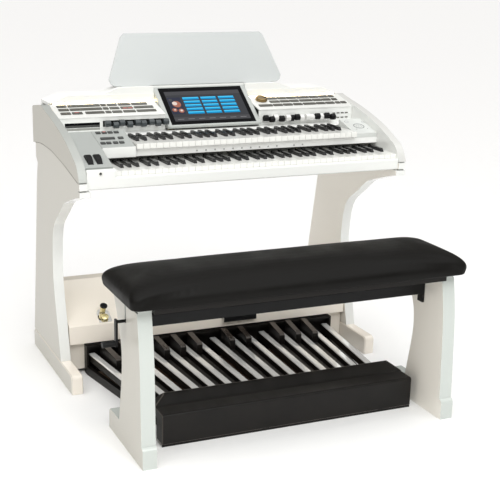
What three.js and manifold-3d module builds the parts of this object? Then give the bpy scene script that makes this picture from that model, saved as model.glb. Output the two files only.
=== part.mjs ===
// Electronic organ with two manuals, a 25-note pedalboard and a height-adjustable bench.
// Lengths are millimetres. +Z is up, +X the player's right, and the player sits on the -Y side.
// The origin lies on the floor, midway between the sides, level with the front of the foot runners.
import * as THREE from "three";
import { mergeVertices } from "three/addons/utils/BufferGeometryUtils.js";
import Module from "manifold-3d";

const wasm = await Module();
wasm.setup();

// Clearances
const seat = 0.3;
const overrun = 3;
const bite = 1;

// Facet counts
const roundSides = 24;
const smallSides = 16;
const curveSteps = 22;
const cornerSteps = 4;

// Cheeks: the console's curved side panels
const cheekThickness = 29;
const cheekFront = -141;
const cheekLength = 607;
const cheekBase = 778;
const cheekRise = 191;
const cheekTopShares = [
  [0, 0.02], [0.018, 0.147], [0.038, 0.241], [0.069, 0.33], [0.15, 0.45], [0.2586, 0.595],
  [0.4036, 0.733], [0.5535, 0.848], [0.7117, 0.942], [0.7924, 1],
];
const cheekRearShares = [[0.985, 0.912], [0.998, 0.892], [1, 0.87], [1, 0.204]];
const splitShares = [
  [0.954, 0.226], [0.82, 0.277], [0.687, 0.283], [0.557, 0.267], [0.418, 0.215], [0.272, 0.152],
  [0.13, 0.073], [0, 0],
];

// Legs with their arms under the console, and the foot runners
const legInset = 2;
const legThickness = 37;
const legDepth = 691;
const armTop = 751;
const armGroove = 5;
const armGrooveDepth = 12;
const legFrontShares = [
  [0, 0.9736], [0.058, 0.962], [0.207, 0.916], [0.292, 0.884], [0.372, 0.822], [0.46, 0.76], [0.51, 0.7],
  [0.5355, 0.581], [0.537, 0.429], [0.502, 0.283], [0.47, 0.176], [0.4255, 0],
];
const legRearShares = [[1, 0], [0.836, 0.896], [0.806, 1]];
const haunchStep = 768;
const footLength = 554;
const footHeight = 70;
const footWidth = 41.7;
const footRound = 16;
const footBevel = 3;

// Keybed and front rail
const railFront = -134;
const railThickness = 15.2;
const railBottom = 755;
const railTop = 793;
const railRiserTop = 820;
const railRound = 5;
const bedThickness = 15;
const bedRear = 438;
const jackHeight = 807;
const jackInset = 46;
const jackRadius = 3.3;

// Keys, whose pitch also sets the console's width
const whitePitch = 23.5;
const keyGap = 1;
const notchGap = 0.6;
const blackWidth = 10.6;
const blackRise = 12;
const blackSetback = 50;
const blackLength = 95;
const blackRake = 9;
const keyHeight = 18;
const blackShares = { 0: -0.11, 1: 0.11, 3: -0.16, 4: 0, 5: 0.16 };
const octaveWhiteCount = 7;
const keyTopDrop = 2;
const beamDepth = 24;
const frameSheet = 4;
const guideDepth = 18;
const guideRise = 5;

// Lower manual: 76 keys from E to G
const lowerWhiteCount = 45;
const lowerFirstIndex = 2;
const lowerFront = -118;
const lowerTop = 809;
const lowerPivot = 125;
const firstMovingWhiteIndex = 19;

// Upper manual: 61 keys from C to C
const upperWhiteCount = 36;
const upperFirstIndex = 0;
const presetWidth = 118;
const upperFront = 4;
const upperTop = 873;
const upperPivot = 176;

// Upper deck: slip, shelf and rear ledge
const slipFront = 20;
const slipThickness = 10;
const slipBottom = 828;
const slipTop = 853;
const shelfThickness = 8;
const ledgeFront = 152;
const ledgeTop = 880;
const ledgeThickness = 4;
const pistonPitch = 34;
const pistonStart = 223.5;
const pistonPlaceIndices = [0, 1, 2, 3, 4, 5, 6, 7, 8, 9, 11, 12];
const pistonRadius = 3;
const pistonRise = 1.6;
const pistonAbove = 8;

// End blocks beside the manuals
const blockWall = 4;
const wheelBlockWidth = 96.5;
const blockGap = 0.8;
const blockSurface = [[-109.7, 825], [13, 863], [146, 899]];
const presetFront = 9;
const presetFrontTop = 864;
const presetFrontDepth = 8;
const presetButtonRise = 2;
const presetButtonDepth = 12;
const presetRowsY = [126, 80, 45];
const presetRowShares = [
  [[0.114, 0.233], [0.3, 0.419], [0.479, 0.597], [0.665, 0.784]],
  [[0.14, 0.547], [0.665, 0.801]],
  [[0.055, 0.174], [0.225, 0.343], [0.428, 0.547], [0.614, 0.733]],
];
const touchRing = 21;
const touchRingWidth = 3;
const touchRise = 1;
const touchInset = 48.5;
const touchY = 80;

// Pitch and modulation wheels
const wheelRadius = 40;
const wheelWidth = 17;
const wheelInsets = [68.5, 38.2];
const wheelY = -54;
const wheelProud = 14;
const wheelSlotGap = 0.7;
const wheelNotch = 4;
const axleRadius = 4;
const axleGap = 0.4;
const bearingWall = 4;
const bearingDrop = 60;

// Drawbar face and its sets
const faceFront = 213;
const faceThickness = 4;
const faceBottom = ledgeTop + seat;
const faceTop = 934.2;
const lcdInsets = [24, 150];
const lcdHeights = [901, 918];
const lcdDepth = 1.5;
const leftBarInset = 9;
const leftBarPitch = 26.4;
const leftBarCount = 9;
const leftBarHeights = [909.3, 914.7];
const rightBarInset = 20;
const rightBarPitch = 21;
const rightBarCount = 14;
const rightBarHeights = [904.1, 907.9];
const barReaches = [20, 28, 15, 24, 32, 18, 26, 21, 30];
const barStem = 5;
const barHandle = 9;
const barHandleHalf = 7;
const switchHeights = [913, 896];
const switchInset = 79;
const switchPitch = 18;
const switchCount = 4;
const switchSize = 8;
const switchRise = 2;

// Sloping button panels
const panelFront = 210;
const panelFrontZ = 938;
const panelSlope = Math.atan(0.25);
const panelLength = 124;
const panelThickness = 4;
const buttonRise = 2;
const buttonDepth = 12;
const buttonRows = [35, 69, 101];
const leftButtonShares = [
  [[0.048, 0.135], [0.153, 0.242], [0.275, 0.444], [0.462, 0.508], [0.524, 0.61], [0.628, 0.738],
    [0.756, 0.935]],
  [[0.05, 0.14], [0.153, 0.447], [0.462, 0.508], [0.524, 0.61], [0.628, 0.738], [0.756, 0.935]],
  [[0.053, 0.137], [0.153, 0.449], [0.462, 0.508], [0.524, 0.61], [0.628, 0.738], [0.756, 0.9]],
];
const rightButtonShares = [
  [[0.04, 0.173], [0.19, 0.28], [0.296, 0.385], [0.403, 0.49], [0.508, 0.638], [0.653, 0.738], [0.754, 0.84],
    [0.86, 0.903], [0.919, 0.97]],
  [[0.19, 0.285], [0.3, 0.39], [0.404, 0.492], [0.51, 0.638], [0.653, 0.742], [0.755, 0.84], [0.86, 0.911]],
  [[0.193, 0.288], [0.303, 0.39], [0.404, 0.496], [0.51, 0.638], [0.653, 0.743], [0.758, 0.847],
    [0.863, 0.914]],
];

// Data dial
const dialInset = 47;
const dialAlong = 89;
const dialRadius = 22.5;
const dialHeight = 12;
const dialChamfer = 2;
const dialLift = 1;
const dialStem = 5;
const dialStemGap = 0.4;
const dialStemLength = 10;
const dialDimple = 6;
const dialDimpleDepth = 2;
const dialDimpleShare = 0.6;

// Lid, its fairing, lamp strip and rear panel
const lidFront = 338;
const lidRear = 464;
const lidThickness = 16;
const lidFrontBottom = 973;
const lidInsets = [68, 39, 4, 4];
const lidHeights = [996, 985, 973, 962];
const lidFrontBoard = 12;
const lampHeight = 6;
const lampDepth = 11;
const fairingBase = 385;
const fairingCrest = 314;
const fairingTop = 1019.5;
const fairingFront = 341;
const fairingRear = 410;
const backThickness = 14;
const inletSpan = [-60, 60];
const inletHeights = [845, 895];
const inletPlate = 3;
const socketWidth = 27;
const socketHeight = 20;
const socketDepth = 16;
const socketPlate = 1.5;
const socketX = -30;

// Display
const displayHalf = 183;
const displayFoot = [185, 895];
const displayCrest = [354, 1014];
const displayBack = 359.4;
const displayLip = 4;
const glassHalf = 165;
const glassLength = 192;
const glassThickness = 3;
const glassFoot = 9;

// Music desk
const deskTilt = 17.7 * Math.PI / 180;
const deskFoot = [360, 1019.5];
const deskThickness = 6;
const deskHalves = [339, 345, 279];
const deskHeights = [4, 28, 196];
const deskRound = 14;
const deskTongue = 11;
const deskTabs = [192, 300];
const deskLift = deskThickness * Math.tan(deskTilt) + seat;
const deskGrooveGap = 0.35;

// Pedal cabinet between the legs
const cabinetFront = 177;
const cabinetBayFront = 200;
const cabinetBottom = 14;
const cabinetBandBottom = 119;
const cabinetBandTop = 186;
const cabinetCrestY = 382;
const cabinetCrestZ = 302;
const cabinetRear = 430;
const cabinetWall = 12;

// Swell pedal
const swellX = 105;
const swellWidth = 136;
const swellGap = 3;
const swellThickness = 16;
const swellLength = 216;
const swellProud = 9;
const swellHeel = 12;
const swellApron = 48;
const swellApronThickness = 8;
const swellWellDepth = 48;
const swellPivotInset = 14;
const swellAxle = 5;
const swellAxleGap = 0.4;
const swellAxleReach = 9;
const swellRibCount = 9;
const swellRibRise = 1.5;
const swellRibDepth = 8;

// Toe pistons and their plate
const toeX = -424;
const toePlateWidth = 48;
const toePlateFrom = 6;
const toePlateLength = 66;
const toePlateThickness = 3;
const toeAlong = [25, 57];
const toeHeights = [9, 33];
const toeRadius = 14;
const toeCap = 7;
const toeDome = 4;
const toeNeck = 10.5;
const toeTravel = 4;
const toeStem = 7;
const toeStemGap = 0.4;
const toeStemLength = 22;

// Pedalboard
const naturalCount = 15;
const naturalWidth = 24;
const naturalTop = 79;
const naturalThickness = 30;
const naturalRound = 4;
const sharpWidth = 22;
const sharpBar = 15;
const sharpFront = 67;
const sharpBow = 1360;
const sharpTops = [108, 119];
const sharpNose = 12;
const sharpReach = 593;
const pedalSplay = 0.017;
const pedalPivot = -430;
const pedalTail = 11;
const pedalReach = 616;
const toeBoxGap = 61.3;
const pedalMargin = 66.5;
const boardBase = 8;
const boardFront = -498;
const toeBoxFront = 166;
const toeBoxRear = cabinetBayFront - seat;
const toeBoxTop = 111;
const toeBoxWall = 8;
const boardRail = 16;
const boardLip = 30;
const heelRailFront = -445;
const sharpAfterIndices = [0, 1, 3, 4, 5];
const firstMovingPedalIndex = 7;

// Heel board
const heelInset = 50;
const heelLipInset = 46;
const heelFront = -501;
const heelDeckZ = 109;
const heelDeckEnd = -438;
const heelLipY = -398;
const heelLipZ = 141;
const heelLipNose = 7;
const heelClearance = 4;
const heelRound = 8;

// Bench
const benchX = -12;
const benchThickness = 46;
const benchTop = 480;
const benchFrontEdge = [[-615, 69], [-611, 160], [-603, 315], [-592, 405], [-578, 480]];
const benchRearEdge = [
  [-352, 480], [-385, 425], [-409, 375], [-425, 335], [-431, 290], [-430, 250], [-421, 190], [-398, 69],
];
const benchFrontSteps = 8;
const benchRearSteps = 12;
const benchFootSpan = [-628, -293];
const benchFootHeight = 69;
const benchFootRound = 16;
const beamY = -470;
const beamHeight = 35;
const beamDepthY = 30;
const beamTop = 436;
const flangeHeight = 70;
const flangeThickness = 8;
const flangeTop = 441;
const beamPostWidth = 40;
const shaftZ = 424;
const shaftRadius = 5;
const slotWidth = 12;
const benchLift = 42;
const crankStub = 27;
const crankArmLength = 78;
const crankArmWidth = 16;
const crankArmThickness = 6;
const gripRadius = 9;
const gripLength = 41;
const seatBoardInset = 4;
const seatBoardSpan = [-606, -316];
const seatBoardThickness = 16;
const cushionOverhang = 21;
const cushionSpan = [-620, -302];
const cushionEdge = 26;
const cushionCrown = 63;
const cushionCorner = 24;
const cushionRound = 5;
const cushionBulge = 3;
const cushionRidge = 4;
const cushionFullnessShare = 0.91;
const cushionCornerSteps = 5;
const cushionCrownSteps = 11;

// Directions
const axisX = new THREE.Vector3(1, 0, 0);
const axisY = new THREE.Vector3(0, 1, 0);
const axisZ = new THREE.Vector3(0, 0, 1);

// Solid helpers
function solid(geometry) {
  geometry.deleteAttribute("normal");
  geometry.deleteAttribute("uv");
  const welded = mergeVertices(geometry);
  return new wasm.Manifold(new wasm.Mesh({
    numProp: 3,
    vertProperties: Float32Array.from(welded.attributes.position.array),
    triVerts: Uint32Array.from(welded.index.array),
  }));
}

function geometryOf(body) {
  const { vertProperties, triVerts } = body.getMesh();
  const geometry = new THREE.BufferGeometry();
  geometry.setAttribute("position", new THREE.BufferAttribute(vertProperties, 3));
  geometry.setIndex(new THREE.BufferAttribute(triVerts, 1));
  geometry.computeVertexNormals();
  return geometry;
}

function extruded(points, depth) {
  const shape = new THREE.Shape(points.map(([across, upward]) => new THREE.Vector2(across, upward)));
  return new THREE.ExtrudeGeometry(shape, { depth, bevelEnabled: false });
}

// A Y-Z outline drawn out along X
function alongX(points, [fromX, toX]) {
  const geometry = extruded(points, toX - fromX);
  geometry.applyMatrix4(new THREE.Matrix4().makeBasis(axisY, axisZ, axisX));
  return solid(geometry.translate(fromX, 0, 0));
}

// An X-Z outline drawn out along Y
function alongY(points, [fromY, toY]) {
  const geometry = extruded(points, toY - fromY);
  geometry.applyMatrix4(new THREE.Matrix4().makeBasis(axisX, axisZ, axisY.clone().negate()));
  return solid(geometry.translate(0, toY, 0));
}

// An X-Y outline drawn out along Z
function alongZ(points, [fromZ, toZ]) {
  return solid(extruded(points, toZ - fromZ).translate(0, 0, fromZ));
}

function box([fromX, toX], [fromY, toY], [fromZ, toZ]) {
  const geometry = new THREE.BoxGeometry(toX - fromX, toY - fromY, toZ - fromZ);
  return solid(geometry.translate((fromX + toX) / 2, (fromY + toY) / 2, (fromZ + toZ) / 2));
}

function rodX(radius, [fromX, toX], y, z, sides = roundSides) {
  const geometry = new THREE.CylinderGeometry(radius, radius, toX - fromX, sides);
  return solid(geometry.rotateZ(-Math.PI / 2).translate((fromX + toX) / 2, y, z));
}

function rodY(radius, x, [fromY, toY], z, sides = smallSides) {
  const geometry = new THREE.CylinderGeometry(radius, radius, toY - fromY, sides);
  return solid(geometry.translate(x, (fromY + toY) / 2, z));
}

function rodZ(radius, x, y, [fromZ, toZ], sides = roundSides) {
  const geometry = new THREE.CylinderGeometry(radius, radius, toZ - fromZ, sides);
  return solid(geometry.rotateX(Math.PI / 2).translate(x, y, (fromZ + toZ) / 2));
}

// A profile of radii and heights, from its lower end on the axis to its upper one, turned about Z
function turned(profile) {
  const points = profile.map(([radius, height]) => new THREE.Vector2(radius, height));
  return solid(new THREE.LatheGeometry(points, roundSides).rotateX(Math.PI / 2));
}

function join(bodies) {
  return bodies.reduce((whole, next) => whole.add(next));
}

function smooth(points, steps = curveSteps) {
  const curve = new THREE.SplineCurve(points.map(([across, upward]) => new THREE.Vector2(across, upward)));
  return curve.getPoints(steps).map((point) => [point.x, point.y]);
}

// The corner of an outline rounded into an arc, from one heading to the next
function arc([centreA, centreB], radius, fromTurn, toTurn, steps = cornerSteps) {
  return Array.from({ length: steps + 1 }, (_, step) => {
    const angle = (fromTurn + (toTurn - fromTurn) * step / steps) * 2 * Math.PI;
    return [centreA + radius * Math.cos(angle), centreB + radius * Math.sin(angle)];
  });
}

function spanOn(side, inner, outer) {
  return side < 0 ? [-outer, -inner] : [inner, outer];
}

// Finishes
function finish(color, roughness, metalness = 0) {
  return new THREE.MeshStandardMaterial({ color, roughness, metalness });
}

const finishes = {
  lacquer: () => finish(0xf2f1ec, 0.25),
  silverGrey: () => finish(0xc4c7c6, 0.35),
  satinBlack: () => finish(0x151515, 0.45),
  ivory: () => finish(0xf7f6f0, 0.3),
  steel: () => finish(0xb9bcbf, 0.25, 1),
  chrome: () => finish(0xd8dadc, 0.1, 1),
  acrylic: () => finish(0xe4e8e8, 0.15),
  glass: () => finish(0x10151c, 0.08),
  lamp: () => finish(0xfff2cf, 0.5),
  bronze: () => finish(0x8a7344, 0.35, 0.8),
  rosewood: () => finish(0x2b1712, 0.35),
  leather: () => finish(0x161616, 0.4),
};

function piece(parent, name, body, material, position = [0, 0, 0]) {
  const mesh = new THREE.Mesh(geometryOf(body), material);
  mesh.name = name;
  mesh.position.set(...position);
  parent.add(mesh);
  return mesh;
}

function group(parent, position, turnX = 0) {
  const holder = new THREE.Group();
  holder.position.set(...position);
  holder.rotation.x = turnX;
  parent.add(holder);
  return holder;
}

// Values shared by several pieces
const sides = [[-1, "left"], [1, "right"]];
const innerHalf = (wheelBlockWidth + lowerWhiteCount * whitePitch) / 2;
const consoleHalfWidth = innerHalf + cheekThickness;
const fitHalf = innerHalf - seat;
const lowerLeft = innerHalf - lowerWhiteCount * whitePitch;
const wheelBlockInner = lowerLeft - blockGap;
const slipLeft = wheelBlockInner + seat;
const upperLeft = lowerLeft + presetWidth;
const presetInner = upperLeft - blockGap;
const touchInner = upperLeft + upperWhiteCount * whitePitch + blockGap;
const bedTop = railBottom + bedThickness;
const panelInner = displayHalf + bite;
const dialX = panelInner + dialInset;
const lidTop = lidHeights[0];
const lidShoulders = lidInsets.map((inset, order) => [innerHalf - inset, lidHeights[order]]);
const footInner = consoleHalfWidth - footWidth;
const cabinetHalf = footInner - 2 * seat;
const boardHalf = footInner - toeBoxGap;
const pedalPitch = 2 * (boardHalf - pedalMargin) / naturalCount;
const heelHalf = boardHalf - heelInset;
const pedalBottom = naturalTop - naturalThickness;
const benchHalf = boardHalf + benchThickness;
const cushionHalf = benchHalf + cushionOverhang;

function cheekPoint([along, upward]) {
  return [cheekFront + along * cheekLength, cheekBase + upward * cheekRise];
}

function surfaceZ(y) {
  const [[frontY, frontZ], [midY, midZ], [rearY, rearZ]] = blockSurface;
  if (y < midY) return frontZ + (midZ - frontZ) * (y - frontY) / (midY - frontY);
  return midZ + (rearZ - midZ) * (y - midY) / (rearY - midY);
}

// Console sides
function addCheeks(parent) {
  const top = smooth(cheekTopShares.map(cheekPoint));
  const rear = cheekRearShares.map(cheekPoint);
  const split = smooth(splitShares.map(cheekPoint)).slice(0, -1);
  for (const [side, label] of sides) {
    const body = alongX([...top, ...rear, ...split], spanOn(side, innerHalf, consoleHalfWidth));
    piece(parent, `cheek_${label}`, body, finishes.lacquer());
  }
}

function addLegs(parent) {
  const outer = consoleHalfWidth - legInset;
  const legBase = footHeight + seat;
  const place = ([along, upward]) => [cheekFront + along * legDepth, legBase + upward * (armTop - legBase)];
  const haunchTop = smooth(splitShares.map(cheekPoint)).map(([y, z]) => [y, z - seat]).reverse();
  const [haunchRear] = cheekPoint(splitShares[0]);
  const haunch = [
    [cheekFront, armTop - bite], ...haunchTop, [haunchRear, haunchStep],
    [place(legRearShares[2])[0], armTop - bite],
  ];
  const leg = [[cheekFront, armTop], ...smooth(legFrontShares.map(place)), ...legRearShares.map(place)];
  const groove = [
    [cheekFront - overrun, armTop], [cheekFront + armGrooveDepth, armTop],
    [cheekFront + armGrooveDepth, armTop + armGroove], [cheekFront - overrun, armTop + armGroove],
  ];
  for (const [side, label] of sides) {
    const upper = alongX(haunch, spanOn(side, innerHalf, outer));
    const lower = alongX(leg, spanOn(side, outer - legThickness, outer));
    const notch = alongX(groove, spanOn(side, innerHalf - overrun, outer + overrun));
    piece(parent, `leg_${label}`, upper.add(lower).subtract(notch), finishes.lacquer());
  }
}

function runnerOutline([fromY, toY], height, round) {
  return [
    [fromY, 0], [toY, 0],
    ...arc([toY - round, height - round], round, 0, 0.25),
    ...arc([fromY + round, height - round], round, 0.25, 0.5),
  ];
}

function addFeet(parent) {
  const outline = runnerOutline([0, footLength], footHeight, footRound);
  const slim = runnerOutline([footBevel, footLength - footBevel], footHeight - footBevel, footRound);
  for (const [side, label] of sides) {
    const [inner, outer] = [footInner, consoleHalfWidth];
    const core = alongX(outline, spanOn(side, inner + footBevel, outer - footBevel));
    const skirt = alongX(slim, spanOn(side, inner, outer));
    piece(parent, `foot_${label}`, core.add(skirt), finishes.lacquer());
  }
}

// Keybed: the bottom board, the front rail and the rail's raised left end with its socket
function addKeybed(parent) {
  const railRear = railFront + railThickness;
  const rail = (top) => [
    ...arc([railFront + railRound, railBottom + railRound], railRound, 0.5, 0.75),
    [railRear, railBottom], [railRear, top],
    ...arc([railFront + railRound, top - railRound], railRound, 0.25, 0.5),
  ];
  const body = join([
    box([-fitHalf, fitHalf], [railRear - bite, bedRear], [railBottom, bedTop]),
    alongX(rail(railTop), [-fitHalf, fitHalf]),
    alongX(rail(railRiserTop), [-fitHalf, wheelBlockInner]),
  ]);
  const socketY = [railFront - overrun, railRear + overrun];
  const socket = rodY(jackRadius, jackInset - innerHalf, socketY, jackHeight);
  piece(parent, "keybed", body.subtract(socket), finishes.lacquer());
}

// Keys: plan outlines for the whites, side profiles for the blacks
function blackCentre(manual, boundary) {
  const note = (manual.firstIndex + boundary) % octaveWhiteCount;
  if (boundary < 0 || boundary >= manual.whiteCount - 1 || blackShares[note] === undefined) return null;
  return manual.left + (boundary + 1 + blackShares[note]) * whitePitch;
}

function whiteKey(manual, index) {
  const left = manual.left + index * whitePitch + keyGap / 2;
  const right = manual.left + (index + 1) * whitePitch - keyGap / 2;
  const notchY = manual.front + blackSetback - keyGap;
  const reach = blackWidth / 2 + notchGap;
  const blackBefore = blackCentre(manual, index - 1);
  const blackAfter = blackCentre(manual, index);
  const tailLeft = blackBefore === null ? left : Math.max(left, blackBefore + reach);
  const tailRight = blackAfter === null ? right : Math.min(right, blackAfter - reach);
  const rear = manual.pivot + beamDepth;
  const outline = [[left, manual.front], [right, manual.front]];
  if (tailRight < right) outline.push([right, notchY], [tailRight, notchY]);
  outline.push([tailRight, rear], [tailLeft, rear]);
  if (tailLeft > left) outline.push([tailLeft, notchY], [left, notchY]);
  const key = alongZ(outline, [manual.top - keyHeight, manual.top]);
  return { key, tail: [tailLeft, tailRight] };
}

function blackKey(manual, centre) {
  const front = manual.front + blackSetback;
  const top = manual.top + blackRise;
  const tailTop = manual.top - keyTopDrop;
  const bottom = manual.top - keyHeight;
  const rear = manual.pivot + beamDepth;
  const profile = [
    [front, bottom], [rear, bottom], [rear, tailTop], [front + blackLength, tailTop],
    [front + blackLength, top], [front + blackRake, top], [front, manual.top + keyTopDrop],
  ];
  return alongX(profile, [centre - blackWidth / 2, centre + blackWidth / 2]);
}

// The block under a fixed key's tail that ties it to the rear beam
function keyFoot(manual, [fromX, toX]) {
  const bottom = manual.top - keyHeight;
  const spanY = [manual.pivot + bite, manual.pivot + beamDepth - bite];
  return box([fromX, toX], spanY, [bottom - seat - bite, bottom + bite]);
}

function keyFrame(manual) {
  const right = manual.left + manual.whiteCount * whitePitch;
  const span = [manual.left + seat, right - seat];
  const rear = manual.pivot + beamDepth;
  const guideFront = manual.front + blackSetback;
  const bottom = manual.top - keyHeight;
  return join([
    box(span, [guideFront, rear], [manual.base, manual.base + frameSheet]),
    box(span, [manual.pivot, rear], [manual.base, bottom - seat]),
    box(span, [guideFront, guideFront + guideDepth], [manual.base, manual.base + guideRise]),
  ]);
}

function addManual(parent, name, manual, movingFrom, movingCount) {
  const fixed = [keyFrame(manual)];
  for (let index = 0; index < manual.whiteCount; index += 1) {
    const { key, tail } = whiteKey(manual, index);
    const moves = index >= movingFrom && index < movingFrom + movingCount;
    if (moves) {
      const order = index - movingFrom + 1;
      const centre = manual.left + (index + 0.5) * whitePitch;
      const place = [centre, manual.pivot, manual.top - keyHeight];
      const local = key.translate(...place.map((value) => -value));
      piece(parent, `${name}_key_${order}`, local, finishes.ivory(), place);
    } else {
      fixed.push(key, keyFoot(manual, tail));
    }
    const centre = blackCentre(manual, index);
    if (centre !== null) {
      const tail = [centre - blackWidth / 2, centre + blackWidth / 2];
      fixed.push(blackKey(manual, centre), keyFoot(manual, tail));
    }
  }
  piece(parent, name, join(fixed), finishes.ivory());
}

// Upper deck: the slip between the manuals, the shelf and the ledge behind the upper keys
function addUpperDeck(parent) {
  const shelfTop = slipTop - frameSheet - seat;
  const shelfBottom = shelfTop - shelfThickness;
  const ledgeBottom = ledgeTop - ledgeThickness;
  const riserFront = faceFront - blockWall;
  const riserRear = faceFront + faceThickness;
  const ledge = [
    [riserFront, ledgeBottom], [ledgeFront, ledgeBottom], [ledgeFront, ledgeTop], [riserRear, ledgeTop],
  ];
  const shelf = [
    [slipFront, shelfTop], [slipFront, slipBottom], [slipFront + slipThickness, slipBottom],
    [slipFront + slipThickness, shelfBottom], [riserRear, shelfBottom],
  ];
  const leftEnd = [...ledge, [riserRear, shelfBottom], [riserFront, shelfBottom]].reverse();
  const lipX = [presetInner + seat, touchInner - seat];
  const bodies = [
    alongX([...shelf, ...[...ledge].reverse(), [riserFront, shelfTop]], [slipLeft, fitHalf]),
    alongX(leftEnd, [-fitHalf, slipLeft + bite]),
    box(lipX, [slipFront, slipFront + slipThickness - bite], [shelfTop - bite, slipTop]),
  ];
  for (const place of pistonPlaceIndices) {
    const x = upperLeft + pistonStart + place * pistonPitch;
    bodies.push(rodY(pistonRadius, x, [slipFront - pistonRise, slipFront + bite], slipBottom + pistonAbove));
  }
  piece(parent, "upper_deck", join(bodies), finishes.lacquer());
}

// An end block: a shell with a sloping top, open underneath
function blockShell(spanX, frontY, rearY, baseZ, topPoints) {
  const top = [...topPoints].reverse();
  const outer = alongX([[frontY, baseZ], [rearY, baseZ], ...top], spanX);
  const inside = (y) => Math.min(Math.max(y, frontY + blockWall), rearY - blockWall);
  const inner = top.map(([y, z]) => [inside(y), z - blockWall]);
  const core = alongX(
    [[frontY + blockWall, baseZ - overrun], [rearY - blockWall, baseZ - overrun], ...inner],
    [spanX[0] + blockWall, spanX[1] - blockWall],
  );
  return outer.subtract(core);
}

function addWheelBlock(parent) {
  const frontY = blockSurface[0][0];
  const spanX = [-fitHalf, wheelBlockInner];
  const shell = blockShell(spanX, frontY, blockSurface[2][0], bedTop + seat, blockSurface);
  const wheelX = wheelInsets.map((inset) => lowerLeft - inset);
  const wheelZ = surfaceZ(wheelY) + wheelProud - wheelRadius;
  const bearingTop = surfaceZ(wheelY - wheelRadius / 2) - blockWall + bite;
  const halfWheel = wheelWidth / 2 + wheelSlotGap;
  const bearings = [];
  const slots = [];
  for (const x of wheelX) {
    for (const side of [-1, 1]) {
      const near = x + side * (halfWheel + bearingWall / 2);
      bearings.push(box(
        [near - bearingWall / 2, near + bearingWall / 2],
        [wheelY - wheelRadius / 2, wheelY + wheelRadius / 2],
        [bearingTop - bearingDrop, bearingTop],
      ));
    }
    slots.push(rodX(wheelRadius + wheelSlotGap, [x - halfWheel, x + halfWheel], wheelY, wheelZ));
  }
  const boreX = [spanX[0] + blockWall, spanX[1] - blockWall];
  const axleBore = rodX(axleRadius + axleGap, boreX, wheelY, wheelZ, smallSides);
  const body = join([shell, ...bearings]).subtract(join([...slots, axleBore]));
  piece(parent, "wheel_block", body, finishes.silverGrey());
  const names = ["pitch_wheel", "mod_wheel"];
  wheelX.forEach((x, order) => {
    const reach = halfWheel + bearingWall;
    const disc = rodX(wheelRadius, [-wheelWidth / 2, wheelWidth / 2], 0, 0);
    const notch = rodX(wheelNotch, [-wheelWidth, wheelWidth], 0, wheelRadius + wheelNotch / 2, smallSides);
    const axle = rodX(axleRadius, [-reach, reach], 0, 0, smallSides);
    piece(parent, names[order], disc.subtract(notch).add(axle), finishes.satinBlack(), [x, wheelY, wheelZ]);
  });
}

function slopeButtons(spans, y) {
  const [depth, rise] = [presetButtonDepth, presetButtonRise];
  return spans.map(([from, to]) => alongX([
    [y - depth / 2, surfaceZ(y - depth / 2) - blockWall / 2],
    [y + depth / 2, surfaceZ(y + depth / 2) - blockWall / 2],
    [y + depth / 2, surfaceZ(y + depth / 2) + rise],
    [y - depth / 2, surfaceZ(y - depth / 2) + rise],
  ], [from, to]));
}

function addPresetBlock(parent) {
  const base = slipTop - frameSheet;
  const frontTop = [presetFront, presetFrontTop];
  const bendY = presetFront + presetFrontDepth;
  const top = [frontTop, [bendY, surfaceZ(bendY)], blockSurface[2]];
  const shell = blockShell([slipLeft, presetInner], presetFront, blockSurface[2][0], base, top);
  const width = presetInner - slipLeft;
  const buttons = presetRowShares.flatMap((spans, row) => (
    slopeButtons(spans.map((span) => span.map((share) => slipLeft + share * width)), presetRowsY[row])
  ));
  const cheek = box([slipLeft, presetInner], [presetFront, slipFront - seat], [slipBottom, base + blockWall]);
  piece(parent, "preset_block", join([shell, cheek, ...buttons]), finishes.silverGrey());
}

function addTouchBlock(parent) {
  const base = slipTop - frameSheet;
  const top = [[slipFront, surfaceZ(slipFront)], blockSurface[2]];
  const shell = blockShell([touchInner, fitHalf], slipFront, blockSurface[2][0], base, top);
  const slope = (surfaceZ(blockSurface[2][0]) - surfaceZ(slipFront)) / (blockSurface[2][0] - slipFront);
  const ring = rodZ(touchRing, 0, 0, [-blockWall / 2, touchRise])
    .subtract(rodZ(touchRing - touchRingWidth, 0, 0, [-blockWall, touchRise + overrun]))
    .rotate([Math.atan(slope) * 180 / Math.PI, 0, 0])
    .translate(touchInner + touchInset, touchY, surfaceZ(touchY));
  piece(parent, "touch_block", shell.add(ring), finishes.silverGrey());
}

// Drawbar face: two upright plates with their drawbars, switches and a small window
function drawbars(startX, pitch, count, heights) {
  return Array.from({ length: count }, (_, order) => {
    const x = startX + order * pitch;
    const z = heights[(order + 1) % heights.length];
    const reach = barReaches[order % barReaches.length];
    const stem = box(
      [x - barStem / 2, x + barStem / 2], [faceFront - reach, faceFront + bite], [z - barStem, z + barStem],
    );
    const grip = rodX(barHandle, [x - barHandleHalf, x + barHandleHalf], faceFront - reach, z, smallSides);
    return stem.add(grip);
  });
}

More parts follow.
